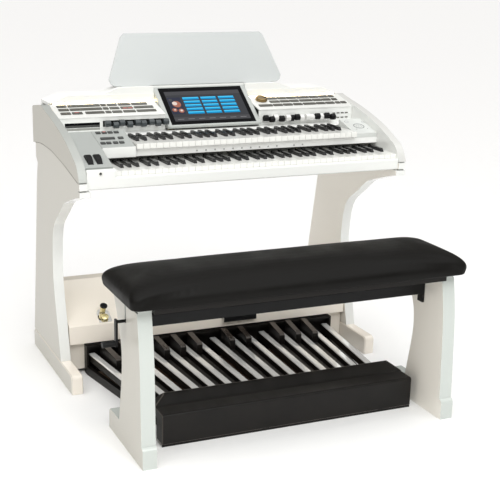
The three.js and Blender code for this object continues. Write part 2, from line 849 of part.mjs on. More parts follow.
function addDrawbarFaces(parent) {
  const plateY = [faceFront, faceFront + faceThickness];
  const lcdSpan = lcdInsets.map((inset) => inset - innerHalf);
  const leftStart = -panelInner - leftBarInset - (leftBarCount - 1) * leftBarPitch;
  const window = box(lcdSpan, [faceFront - overrun, faceFront + lcdDepth], lcdHeights);
  const left = box([-fitHalf, -panelInner], plateY, [faceBottom, faceTop]).subtract(window);
  const leftSet = drawbars(leftStart, leftBarPitch, leftBarCount, leftBarHeights);
  piece(parent, "drawbar_panel_left", join([left, ...leftSet]), finishes.lacquer());
  const right = box([panelInner, fitHalf], plateY, [faceBottom, faceTop]);
  const switches = switchHeights.flatMap((z) => Array.from({ length: switchCount }, (_, order) => {
    const x = innerHalf - switchInset + order * switchPitch;
    return box([x - switchSize / 2, x + switchSize / 2], [faceFront - switchRise, faceFront + bite],
      [z - switchSize / 2, z + switchSize / 2]);
  }));
  const rightSet = drawbars(panelInner + rightBarInset, rightBarPitch, rightBarCount, rightBarHeights);
  piece(parent, "drawbar_panel_right", join([right, ...rightSet, ...switches]), finishes.lacquer());
}

// Button panels, laid out in a frame whose Y runs up the slope
function addButtonPanels(parent) {
  const slope = group(parent, [0, panelFront, panelFrontZ], panelSlope);
  const width = fitHalf - panelInner;
  const sets = [[-1, "left", leftButtonShares], [1, "right", rightButtonShares]];
  for (const [side, label, rows] of sets) {
    const [fromX, toX] = spanOn(side, panelInner, fitHalf);
    const buttons = rows.flatMap((spans, row) => spans.map(([from, to]) => box(
      [fromX + from * width, fromX + to * width],
      [buttonRows[row] - buttonDepth / 2, buttonRows[row] + buttonDepth / 2],
      [-panelThickness / 2, buttonRise],
    )));
    let panel = join([box([fromX, toX], [0, panelLength], [-panelThickness, 0]), ...buttons]);
    const bore = rodZ(dialStem + dialStemGap, dialX, dialAlong, [-panelThickness - overrun, overrun]);
    if (side > 0) panel = panel.subtract(bore);
    piece(slope, `button_panel_${label}`, panel, finishes.lacquer());
  }
  const rim = dialRadius - dialChamfer;
  const knob = turned([
    [0, 0], [dialRadius, 0], [dialRadius, dialHeight - dialChamfer], [rim, dialHeight], [0, dialHeight],
  ]);
  const stem = rodZ(dialStem, 0, 0, [-dialStemLength, bite]);
  const dimpleZ = [dialHeight - dialDimpleDepth, dialHeight + overrun];
  const dimple = rodZ(dialDimple, rim * dialDimpleShare, 0, dimpleZ, smallSides);
  const body = knob.add(stem).subtract(dimple);
  piece(slope, "data_dial", body, finishes.bronze(), [dialX, dialAlong, dialLift]);
}

// Lid: a plate with sloped shoulders, a front board and a fairing that takes the display and the music desk
function addLid(parent) {
  const [shoulder, slopeEnd, edge, skirt] = lidShoulders;
  const outline = [
    [-skirt[0], skirt[1]], [skirt[0], skirt[1]], edge, slopeEnd, shoulder,
    [-shoulder[0], shoulder[1]], [-slopeEnd[0], slopeEnd[1]], [-edge[0], edge[1]],
  ];
  const under = [
    [skirt[0], skirt[1] - overrun], [slopeEnd[0], slopeEnd[1] - lidThickness],
    [shoulder[0], shoulder[1] - lidThickness],
  ].map(([x, z]) => [x - lidThickness / 2, z]);
  const underOutline = [...under, ...under.map(([x, z]) => [-x, z]).reverse()];
  const boardY = [lidFront - overrun, lidFront + lidFrontBoard];
  const shell = alongY(outline, [lidFront, lidRear])
    .subtract(alongY(underOutline, [lidFront + lidFrontBoard, lidRear + overrun]))
    .subtract(box([-fitHalf, fitHalf], boardY, [skirt[1] - overrun, lidFrontBottom]));
  const fairing = alongY([
    [-fairingBase, lidTop - bite], [fairingBase, lidTop - bite],
    [fairingCrest, fairingTop], [-fairingCrest, fairingTop],
  ], [fairingFront, fairingRear]);
  const notchX = [-displayHalf - seat, displayHalf + seat];
  const notch = box(notchX, [lidFront - overrun, displayBack + seat], [lidTop, fairingTop + overrun]);
  const grooves = [-1, 1].map((side) => box(
    spanOn(side, deskTabs[0] - deskGrooveGap, deskTabs[1] + deskGrooveGap),
    [-deskGrooveGap, deskThickness + deskGrooveGap], [-deskTongue - deskGrooveGap, deskTongue],
  ).rotate([-deskTilt * 180 / Math.PI, 0, 0]).translate(0, ...deskFoot));
  piece(parent, "top_lid", shell.add(fairing).subtract(join([notch, ...grooves])), finishes.lacquer());
}

function addLamp(parent) {
  const body = box(
    [-fitHalf + lidThickness, fitHalf - lidThickness], [lidFront + seat, lidFront + lampDepth],
    [lidFrontBottom - seat - lampHeight, lidFrontBottom - seat],
  );
  piece(parent, "lamp_strip", body, finishes.lamp());
}

// Rear of the console: the panel and its recessed inlet plate
function addBack(parent) {
  const rearY = [bedRear + seat, bedRear + seat + backThickness];
  const panel = box([-fitHalf, fitHalf], rearY, [railBottom, lidShoulders[3][1] - seat])
    .subtract(box(inletSpan, [rearY[0] - overrun, rearY[1] + overrun], inletHeights));
  piece(parent, "back_panel", panel, finishes.lacquer());
  const [fromX, toX] = [inletSpan[0] + seat, inletSpan[1] - seat];
  const [fromZ, toZ] = [inletHeights[0] + seat, inletHeights[1] - seat];
  const midZ = (fromZ + toZ) / 2;
  const plate = box([fromX, toX], [rearY[0], rearY[0] + inletPlate], [fromZ, toZ]);
  const well = box(
    [socketX - socketWidth / 2 - socketPlate, socketX + socketWidth / 2 + socketPlate],
    [rearY[0] - socketDepth, rearY[0] + inletPlate],
    [midZ - socketHeight / 2 - socketPlate, midZ + socketHeight / 2 + socketPlate],
  );
  const hollow = box(
    [socketX - socketWidth / 2, socketX + socketWidth / 2],
    [rearY[0] - socketDepth + socketPlate, rearY[1]],
    [midZ - socketHeight / 2, midZ + socketHeight / 2],
  );
  piece(parent, "inlet_plate", plate.add(well).subtract(hollow), finishes.satinBlack());
}

// Display: a wedge housing with a sunk bed for the glass
function addDisplay(parent) {
  const [footY, footZ] = displayFoot;
  const [crestY, crestZ] = displayCrest;
  const tilt = Math.atan2(crestZ - footZ, crestY - footY);
  const undersideZ = footZ - displayLip * 2;
  const housing = alongX([
    displayFoot, [footY + displayLip, undersideZ], [faceFront - displayLip, undersideZ],
    [lidFront - seat, lidFrontBottom - lidThickness * 2], [lidFront - seat, lidTop + seat],
    [displayBack, lidTop + seat], [displayBack, crestZ - displayLip], displayCrest,
  ], [-displayHalf, displayHalf]);
  const slope = group(parent, [0, footY, footZ], tilt);
  const bed = box(
    [-glassHalf - seat, glassHalf + seat], [glassFoot - seat, glassFoot + glassLength + seat],
    [-glassThickness - seat, overrun],
  ).rotate([tilt * 180 / Math.PI, 0, 0]).translate(0, footY, footZ);
  piece(parent, "display_housing", housing.subtract(bed), finishes.silverGrey());
  const glass = box([-glassHalf, glassHalf], [glassFoot, glassFoot + glassLength], [-glassThickness, 0]);
  piece(slope, "display_glass", glass, finishes.glass());
}

// Music desk: an acrylic plate with two tabs that stand in the fairing's grooves
function addMusicDesk(parent) {
  const tilted = group(parent, [0, ...deskFoot], -deskTilt);
  const [low, wide, high] = deskHeights;
  const [lowHalf, wideHalf, highHalf] = deskHalves;
  const rightSide = [
    [lowHalf - deskRound, deskLift], [lowHalf, low + deskRound / 2], [wideHalf, wide],
    [highHalf + deskRound / 2, high - deskRound], [highHalf, high - deskRound / 2],
    [highHalf - deskRound / 2, high],
  ];
  const leftSide = rightSide.map(([x, z]) => [-x, z]).reverse();
  const plate = alongY([...rightSide, ...leftSide], [0, deskThickness]);
  const tabZ = [-deskTongue, deskLift + bite];
  const tabs = [-1, 1].map((side) => box(spanOn(side, ...deskTabs), [0, deskThickness], tabZ));
  piece(tilted, "music_desk", plate.add(join(tabs)), finishes.acrylic());
}

// Pedal cabinet: a shell open underneath, with the swell pedal's well and the toe pistons' bores
const cabinetSlope = Math.atan2(cabinetCrestZ - cabinetBandTop, cabinetCrestY - cabinetFront);
const swellFoot = [cabinetFront, cabinetBandTop];
const swellPivotHeight = swellProud - swellThickness / 2;

function cabinetOutline(inset) {
  const wall = inset * cabinetWall;
  const along = wall * Math.tan(cabinetSlope / 2);
  const bottom = cabinetBottom - inset * overrun;
  return [
    [cabinetBayFront + wall, bottom], [cabinetRear - wall, bottom],
    [cabinetRear - wall, cabinetCrestZ - wall], [cabinetCrestY + along, cabinetCrestZ - wall],
    [cabinetFront + wall, cabinetBandTop - along],
    [cabinetFront + wall, cabinetBandBottom + wall], [cabinetBayFront + wall, cabinetBandBottom + wall],
  ];
}

// The swell pedal's side profile: a tread plate whose heel end turns down as a plumb apron
function swellProfile() {
  const [sine, cosine] = [Math.sin(cabinetSlope), Math.cos(cabinetSlope)];
  const under = ([along, height], drop) => [along - drop * sine, height - drop * cosine];
  const bottom = swellProud - swellThickness;
  const rear = swellLength - swellHeel;
  const heel = [-swellHeel, swellProud];
  const inner = [swellApronThickness * cosine - swellHeel, swellProud - swellApronThickness * sine];
  return [
    heel, under(heel, swellApron), under(inner, swellApron), under(inner, (inner[1] - bottom) / cosine),
    [rear, bottom], [rear, swellProud],
  ];
}

function addCabinet(parent) {
  const turn = cabinetSlope * 180 / Math.PI;
  const shell = alongX(cabinetOutline(0), [-cabinetHalf, cabinetHalf])
    .subtract(alongX(cabinetOutline(1), [-cabinetHalf + cabinetWall, cabinetHalf - cabinetWall]));
  const place = (body, x) => body.rotate([turn, 0, 0]).translate(x, ...swellFoot);
  const wellHalf = swellWidth / 2 + swellGap;
  const well = place(box(
    [-wellHalf, wellHalf], [-swellHeel - swellGap - overrun, swellLength - swellHeel + swellGap],
    [-swellWellDepth, swellProud + overrun],
  ), swellX);
  const lugZ = [-cabinetWall, swellPivotHeight + swellAxle + bite];
  const lugs = [-1, 1].map((side) => place(box(
    spanOn(side, wellHalf - swellGap + seat, wellHalf + cabinetWall),
    [swellPivotInset - cabinetWall, swellPivotInset + cabinetWall], lugZ,
  ), swellX));
  const boreHalf = wellHalf + cabinetWall - overrun;
  const boreRadius = swellAxle + swellAxleGap;
  const bore = rodX(boreRadius, [-boreHalf, boreHalf], swellPivotInset, swellPivotHeight, smallSides);
  const axleBore = place(bore, swellX);
  const bores = toeAlong.map((along) => (
    place(rodZ(toeStem + toeStemGap, 0, along, [-cabinetWall - overrun, overrun], smallSides), toeX)
  ));
  const body = join([shell.subtract(well), ...lugs]).subtract(join([axleBore, ...bores]));
  piece(parent, "pedal_cabinet", body, finishes.lacquer());
}

function addSwellPedal(parent) {
  const slope = group(parent, [0, ...swellFoot], cabinetSlope);
  const treadLength = swellLength - 2 * swellHeel - swellPivotInset;
  const tread = Array.from({ length: swellRibCount }, (_, order) => {
    const along = swellPivotInset + (order + 1) * treadLength / (swellRibCount + 1);
    const half = swellWidth / 2 - swellRibDepth;
    return box([-half, half], [along, along + swellRibDepth], [swellProud - bite, swellProud + swellRibRise]);
  });
  const plate = alongX(swellProfile(), [-swellWidth / 2, swellWidth / 2]);
  const axleHalf = swellWidth / 2 + swellAxleReach;
  const axle = rodX(swellAxle, [-axleHalf, axleHalf], swellPivotInset, swellPivotHeight, smallSides);
  const shoe = join([plate, ...tread, axle]).translate(0, -swellPivotInset, -swellPivotHeight);
  piece(slope, "swell_pedal", shoe, finishes.satinBlack(), [swellX, swellPivotInset, swellPivotHeight]);
}

// A toe piston: stem, neck and a domed cap
function toePiston(height) {
  const base = toePlateThickness + toeTravel + seat;
  const top = base + height;
  const domeRadius = (toeRadius * toeRadius + toeDome * toeDome) / (2 * toeDome);
  const domeTurn = Math.asin(toeRadius / domeRadius) / (2 * Math.PI);
  return turned([
    [0, base - toeStemLength], [toeStem, base - toeStemLength], [toeStem, base], [toeNeck, base],
    [toeNeck, top - toeCap], [toeRadius, top - toeCap],
    ...arc([0, top - domeRadius], domeRadius, 0.25 - domeTurn, 0.25).slice(0, -1), [0, top],
  ]);
}

function addToePistons(parent) {
  const slope = group(parent, [0, ...swellFoot], cabinetSlope);
  const half = toePlateWidth / 2;
  const outline = [
    [-half, toePlateFrom], [half, toePlateFrom],
    ...arc([0, toePlateFrom + toePlateLength - half], half, 0, 0.5, smallSides / 2),
  ];
  const bores = toeAlong.map((along) => (
    rodZ(toeStem + toeStemGap, 0, along, [-overrun, toePlateThickness + overrun], smallSides)
  ));
  const plate = alongZ(outline, [seat, toePlateThickness]).subtract(join(bores));
  piece(slope, "toe_switch_plate", plate, finishes.chrome(), [toeX, 0, 0]);
  const names = ["toe_piston_lower", "toe_piston_upper"];
  toeHeights.forEach((height, order) => {
    piece(slope, names[order], toePiston(height), finishes.chrome(), [toeX, toeAlong[order], 0]);
  });
}

// Pedals: each is made about its hinge, with its length along Y and its underside at zero
function naturalPedal() {
  const profile = [
    [-pedalTail, 0], [pedalReach, 0], [pedalReach, naturalThickness - naturalRound],
    [pedalReach - naturalRound, naturalThickness], [-pedalTail, naturalThickness],
  ];
  return alongX(profile, [-naturalWidth / 2, naturalWidth / 2]);
}

function sharpPedal({ x, turn }) {
  const front = (sharpFront - x * x / (2 * sharpBow) - pedalPivot) / Math.cos(turn);
  const [frontTop, rearTop] = sharpTops.map((top) => top - pedalBottom);
  const profile = [
    [-pedalTail, 0], [pedalReach, 0], [pedalReach, sharpBar], [sharpReach, sharpBar],
    [sharpReach, rearTop], [front + sharpNose, frontTop],
    ...arc([front + sharpNose, frontTop - sharpNose], sharpNose, 0.25, 0.5).slice(1),
    [front, sharpBar], [-pedalTail, sharpBar],
  ];
  return alongX(profile, [-sharpWidth / 2, sharpWidth / 2]);
}

// The pedals' places, numbered from the middle one, as they fan out from their hinges
function pedalPlaces() {
  const places = [];
  for (let natural = 0; natural < naturalCount; natural += 1) {
    const rank = natural - (naturalCount - 1) / 2;
    const note = natural % octaveWhiteCount;
    const moves = natural >= firstMovingPedalIndex && natural < firstMovingPedalIndex + octaveWhiteCount;
    places.push({ rank, sharp: false, moves });
    const hasSharp = sharpAfterIndices.includes(note) && natural < naturalCount - 1;
    if (hasSharp) places.push({ rank: rank + 1 / 2, sharp: true, moves });
  }
  return places.map((place) => ({ ...place, x: place.rank * pedalPitch, turn: place.rank * pedalSplay }));
}

// The pedalboard's base, side rails, heel rail and toe box
function pedalboardFrame() {
  const floor = boardBase - bite;
  const railTop = pedalBottom - seat;
  const outline = [
    [heelHalf, boardFront], [heelHalf, heelRailFront], [boardHalf, toeBoxFront], [boardHalf, toeBoxRear],
  ];
  const mirrored = outline.map(([x, y]) => [-x, y]).reverse();
  const bodies = [
    alongZ([...outline, ...mirrored], [0, boardBase]),
    box([-heelHalf + boardRail / 2, heelHalf - boardRail / 2], [heelRailFront, pedalPivot], [floor, railTop]),
    box([-boardHalf, boardHalf], [toeBoxRear - toeBoxWall, toeBoxRear], [floor, toeBoxTop]),
    box([-boardHalf, boardHalf], [toeBoxFront, toeBoxRear], [toeBoxTop - toeBoxWall, toeBoxTop]),
    box([-boardHalf, boardHalf], [toeBoxFront, toeBoxFront + toeBoxWall], [floor, boardLip]),
  ];
  for (const side of [-1, 1]) {
    const endX = spanOn(side, boardHalf - toeBoxWall, boardHalf);
    const rail = [
      [heelHalf - boardRail, heelRailFront], [heelHalf, heelRailFront], [boardHalf, toeBoxFront],
      [boardHalf, toeBoxFront + bite], [boardHalf - boardRail, toeBoxFront + bite],
      [boardHalf - boardRail, toeBoxFront],
    ];
    bodies.push(box(endX, [toeBoxFront, toeBoxRear], [floor, toeBoxTop]));
    bodies.push(alongZ(rail.map(([x, y]) => [side * x, y]), [floor, boardLip]));
  }
  return bodies;
}

function addPedalboard(parent) {
  const bodies = pedalboardFrame();
  let order = 0;
  for (const place of pedalPlaces()) {
    const pedal = place.sharp ? sharpPedal(place) : naturalPedal();
    if (place.moves) {
      order += 1;
      const material = place.sharp ? finishes.rosewood() : finishes.steel();
      const mesh = piece(parent, `pedal_${order}`, pedal, material, [place.x, pedalPivot, pedalBottom]);
      mesh.rotation.z = -place.turn;
    } else {
      const half = (place.sharp ? sharpWidth : naturalWidth) / 2;
      const foot = box([-half, half], [bite - pedalTail, -2 * bite], [-seat - bite, bite]);
      const fixed = pedal.add(foot).rotate([0, 0, -place.turn * 180 / Math.PI]);
      bodies.push(fixed.translate(place.x, pedalPivot, pedalBottom));
    }
  }
  piece(parent, "pedalboard_frame", join(bodies), finishes.satinBlack());
}

// Heel board: a flat deck with a concave rise to a rounded lip, its upper corners cut away
function addHeelBoard(parent) {
  const underside = naturalTop + heelClearance;
  const rise = heelLipZ - heelDeckZ;
  const run = heelLipY - heelDeckEnd;
  const sweep = Array.from({ length: cornerSteps + 1 }, (_, step) => {
    const share = step / cornerSteps;
    return [heelDeckEnd + run * share, heelDeckZ + rise * THREE.MathUtils.smoothstep(share, 0, 1)];
  });
  const profile = [
    [heelFront, boardBase + seat], [heelRailFront - seat, boardBase + seat],
    [heelRailFront - seat, underside],
    [heelLipY + heelLipNose, underside], [heelLipY + heelLipNose, heelLipZ - heelLipNose],
    ...sweep.reverse(),
    ...arc([heelFront + heelRound, heelDeckZ - heelRound], heelRound, 0.25, 0.5),
  ];
  const body = alongX(profile, [-heelHalf, heelHalf]);
  const chamferY = [heelFront, heelLipY + heelLipNose + overrun];
  const chamfers = [-1, 1].map((side) => alongY([
    [side * (heelHalf - heelLipInset), heelLipZ + overrun], [side * (heelHalf + overrun), heelLipZ + overrun],
    [side * (heelHalf + overrun), heelDeckZ],
  ], chamferY));
  piece(parent, "heel_board", body.subtract(join(chamfers)), finishes.satinBlack());
}

// Bench: two side panels, a cross beam that carries the rising seat, and the crank that lifts it
function addBench(parent) {
  const bench = group(parent, [benchX, 0, 0]);
  const inner = benchHalf - benchThickness;
  const front = smooth(benchFrontEdge, benchFrontSteps).reverse();
  const rear = smooth(benchRearEdge, benchRearSteps).reverse();
  const side = [...front, ...rear];
  const slot = (spanX) => box(spanX, [beamY - slotWidth / 2, beamY + slotWidth / 2],
    [shaftZ - slotWidth / 2, shaftZ + benchLift + slotWidth / 2]);
  for (const [hand, label] of sides) {
    const spanX = spanOn(hand, inner, benchHalf);
    const upright = alongX(side, spanX);
    const foot = alongX(runnerOutline(benchFootSpan, benchFootHeight + bite, benchFootRound), spanX);
    let body = upright.add(foot);
    if (hand < 0) body = body.subtract(slot([spanX[0] - overrun, spanX[1] + overrun]));
    piece(bench, `bench_panel_${label}`, body, finishes.lacquer());
  }

  const boardBottom = benchTop + seat;
  const boardTop = boardBottom + seatBoardThickness;
  const beamSpan = [beamY - beamDepthY / 2, beamY + beamDepthY / 2];
  const flangeZ = [flangeTop - flangeHeight, flangeTop];
  const flanges = [-1, 1].map((hand) => (
    box(spanOn(hand, inner - seat - flangeThickness, inner - seat), beamSpan, flangeZ)
  ));
  const posts = [-1, 1].map((hand) => box(
    spanOn(hand, inner / 2 - beamPostWidth / 2, inner / 2 + beamPostWidth / 2), beamSpan,
    [beamTop - bite, boardBottom - seat],
  ));
  const boreReach = [-inner, -inner + beamPostWidth];
  const bar = box([-inner + seat, inner - seat], beamSpan, [beamTop - beamHeight, beamTop]);
  const beam = join([bar, ...flanges, ...posts])
    .subtract(rodX(shaftRadius + seat, boreReach, beamY, shaftZ, smallSides));
  piece(bench, "bench_crossbeam", beam, finishes.satinBlack());
  const boardX = [seatBoardInset - benchHalf, benchHalf - seatBoardInset];
  const seatBoard = box(boardX, seatBoardSpan, [boardBottom, boardTop]);
  piece(bench, "bench_seat_board", seatBoard, finishes.satinBlack());

  const stubEnd = -benchHalf - crankStub;
  const shaft = rodX(shaftRadius, [stubEnd, -inner + beamPostWidth - bite], 0, 0, smallSides);
  const arm = box([stubEnd - crankArmThickness, stubEnd + bite], [-crankArmWidth / 2, crankArmWidth / 2],
    [-crankArmLength, crankArmWidth / 2]);
  const gripZ = -crankArmLength + gripRadius;
  const gripX = [stubEnd - crankArmThickness - gripLength, stubEnd - crankArmThickness + bite];
  const grip = rodX(gripRadius, gripX, 0, gripZ, smallSides);
  piece(bench, "bench_crank", join([shaft, arm, grip]), finishes.satinBlack(), [0, beamY, shaftZ]);
  piece(bench, "bench_cushion", cushion(), finishes.leather(), [0, 0, boardTop + seat]);
}

// Cushion: rings of a rounded rectangle that rise past the sides' bulge and close over the crown
function cushion() {
  const [front, rear] = cushionSpan;
  const halfDepth = (rear - front) / 2;
  const quarters = [[1, 1, 0], [-1, 1, 0.25], [-1, -1, 0.5], [1, -1, 0.75]];
  const ringPoints = ([inset, z]) => {
    const [halfX, halfY] = [cushionHalf - inset, halfDepth - inset];
    const share = inset / halfDepth;
    const corner = cushionCorner * (1 - share) + (halfY - cushionRidge / 2) * share;
    return quarters.flatMap(([signX, signY, turn]) => (
      arc([signX * (halfX - corner), signY * (halfY - corner)], corner, turn, turn + 0.25, cushionCornerSteps)
    )).map(([x, y]) => [x, y + (front + rear) / 2, z]);
  };
  const sideRings = [
    ...arc([cushionBulge + cushionRound, cushionRound], cushionRound, 0.75, 0.5), [0, cushionEdge],
  ];
  const crownRings = Array.from({ length: cushionCrownSteps }, (_, step) => {
    const angle = (step + 1) / cushionCrownSteps * Math.PI / 2;
    const rise = Math.sin(angle) ** cushionFullnessShare;
    const run = Math.max(0, Math.cos(angle)) ** cushionFullnessShare;
    return [(halfDepth - cushionRidge) * (1 - run), cushionEdge + cushionCrown * rise];
  });
  const rings = [...sideRings, ...crownRings].map(ringPoints);
  const count = rings[0].length;
  const indices = [];
  for (let ring = 0; ring + 1 < rings.length; ring += 1) {
    for (let step = 0; step < count; step += 1) {
      const [a, b] = [ring * count + step, ring * count + (step + 1) % count];
      indices.push(a, b, b + count, a, b + count, a + count);
    }
  }
  const last = (rings.length - 1) * count;
  for (let step = 1; step + 1 < count; step += 1) {
    indices.push(0, step + 1, step);
    indices.push(last, last + step, last + step + 1);
  }
  const geometry = new THREE.BufferGeometry();
  geometry.setAttribute("position", new THREE.Float32BufferAttribute(rings.flat(2), 3));
  geometry.setIndex(indices);
  return solid(geometry);
}

const organ = new THREE.Group();
addCheeks(organ);
addLegs(organ);
addFeet(organ);
addKeybed(organ);
addManual(organ, "lower_manual", {
  whiteCount: lowerWhiteCount,
  firstIndex: lowerFirstIndex,
  left: lowerLeft,
  front: lowerFront,
  top: lowerTop,
  pivot: lowerPivot,
  base: bedTop + seat,
}, firstMovingWhiteIndex, octaveWhiteCount);
addManual(organ, "upper_manual", {
  whiteCount: upperWhiteCount,
  firstIndex: upperFirstIndex,
  left: upperLeft,
  front: upperFront,
  top: upperTop,
  pivot: upperPivot,
  base: slipTop - frameSheet,
}, upperWhiteCount, 0);
addUpperDeck(organ);
addWheelBlock(organ);
addPresetBlock(organ);
addTouchBlock(organ);
addDrawbarFaces(organ);
addButtonPanels(organ);
addLid(organ);
addLamp(organ);
addBack(organ);
addDisplay(organ);
addMusicDesk(organ);
addCabinet(organ);
addSwellPedal(organ);
addToePistons(organ);
addPedalboard(organ);
addHeelBoard(organ);
addBench(organ);

export default organ;
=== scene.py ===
"""Electronic organ with its pedalboard and bench: finishes, fine details, cushion, light and camera."""

import logging
import math
from collections.abc import Callable, Sequence
from dataclasses import dataclass, field
from enum import Enum, IntEnum

import bmesh
import bpy
from mathutils import Matrix, Vector


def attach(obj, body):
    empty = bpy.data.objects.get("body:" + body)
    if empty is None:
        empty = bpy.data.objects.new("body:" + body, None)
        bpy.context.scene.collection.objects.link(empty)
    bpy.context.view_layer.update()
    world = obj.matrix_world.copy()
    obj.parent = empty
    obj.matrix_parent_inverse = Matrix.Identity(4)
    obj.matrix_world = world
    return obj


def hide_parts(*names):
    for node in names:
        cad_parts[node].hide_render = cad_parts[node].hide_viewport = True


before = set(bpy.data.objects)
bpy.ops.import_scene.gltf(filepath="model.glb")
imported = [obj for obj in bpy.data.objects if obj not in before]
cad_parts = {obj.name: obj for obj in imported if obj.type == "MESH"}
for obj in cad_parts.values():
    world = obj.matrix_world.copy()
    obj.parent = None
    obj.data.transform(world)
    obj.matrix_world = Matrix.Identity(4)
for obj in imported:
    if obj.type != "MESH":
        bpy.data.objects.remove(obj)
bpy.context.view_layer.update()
ROOT = "organ"
log = logging.getLogger("organ")

Span = tuple[float, float]
Rgb = tuple[float, float, float]
Rule = Callable[[bmesh.types.BMFace], int]

COAT_ROUGHNESS = 0.06
LEAST_ROUGHNESS = 0.02
RELIEF_DEPTH = 0.0004
NOISE_SHARE = (0.3, 0.7)
BROAD_DETAIL, FINE_DETAIL = 4.0, 2.0
CELL_SMOOTHNESS = 0.6

DOUBLE_GAP = 1e-5
LEVEL_GAP = 1e-6
FLAT_TURN = 0.6
FACING = 0.9
TOP_TILT = 0.8
CAP_SINK = 0.001
CAP_ROUNDING = 0.4
GROOVE_DEPTH = 0.0011
KNOB_RIM = 0.0016
RING_SIDES = 8


# Finishes


class Pattern(Enum):
    """How a finish's surface is worked."""

    LACQUER = "lacquer"
    MOULDED = "moulded"
    POLISHED = "polished"
    BRUSHED = "brushed"
    LEATHER = "leather"
    GRAIN = "grain"
    PAINT = "paint"


WORKINGS: dict[Pattern, tuple[float, float, Rgb]] = {
    Pattern.LACQUER: (5.0, 900.0, (1, 1, 1)),
    Pattern.MOULDED: (40.0, 2600.0, (1, 1, 1)),
    Pattern.POLISHED: (30.0, 500.0, (1, 1, 1)),
    Pattern.BRUSHED: (20.0, 700.0, (1, 0.04, 1)),
    Pattern.LEATHER: (9.0, 420.0, (1, 1, 1)),
    Pattern.GRAIN: (14.0, 260.0, (1, 0.08, 1)),
    Pattern.PAINT: (18.0, 700.0, (1, 1, 1)),
}
"""Each pattern's broad scale, fine scale and stretch."""


@dataclass(frozen=True)
class Finish:
    """One surface finish, made from shader nodes on object coordinates."""

    name: str
    colour: Rgb
    pattern: Pattern
    roughness: float = 0.4
    metallic: float = 0.0
    coat: float = 0.0
    variation: float = 0.03
    bump: float = 0.02
    specular: float = 0.5
    spread: float = 0.08
    glow: float = 0.0
    alpha: float = 1.0

    def material(self) -> bpy.types.Material:
        """Makes the finish's material on first use.

        Returns:
            The material.
        """
        title = f"{self.name}_finish"
        made = bpy.data.materials.get(title)
        if made is not None:
            return made
        made = bpy.data.materials.new(title)
        made.use_nodes = True
        nodes = Nodes(made.node_tree)
        shader = nodes.tree.nodes["Principled BSDF"]
        inputs = {
            "Metallic": self.metallic, "Coat Weight": self.coat, "Coat Roughness": COAT_ROUGHNESS,
            "Alpha": self.alpha, "Specular IOR Level": self.specular,
        }
        if self.glow:
            inputs |= {"Emission Color": (*self.colour, 1.0), "Emission Strength": self.glow}
        for name, value in inputs.items():
            shader.inputs[name].default_value = value
        self.weave(nodes, shader)
        return made

    def weave(self, nodes: "Nodes", shader: bpy.types.Node) -> None:
        """Adds the colour, roughness and relief of the pattern.

        Args:
            nodes: the material's node helper.
            shader: its Principled shader.
        """
        broad, fine, stretch = WORKINGS[self.pattern]
        place = nodes.place(stretch)
        drift = nodes.noise(place, broad, BROAD_DETAIL)
        light = tuple(min(1.0, c * (1 + self.variation)) for c in self.colour)
        dark = tuple(c * (1 - self.variation) for c in self.colour)
        nodes.link(nodes.ramp(drift, dark, light), shader.inputs["Base Color"])
        grain = nodes.noise(place, fine, FINE_DETAIL)
        smoothest = max(LEAST_ROUGHNESS, self.roughness - self.spread)
        nodes.link(nodes.remap(drift, smoothest, self.roughness + self.spread), shader.inputs["Roughness"])
        relief = grain
        if self.pattern is Pattern.LEATHER:
            relief = nodes.blend(nodes.cells(place, fine), grain)
        nodes.link(nodes.bump(relief, self.bump), shader.inputs["Normal"])


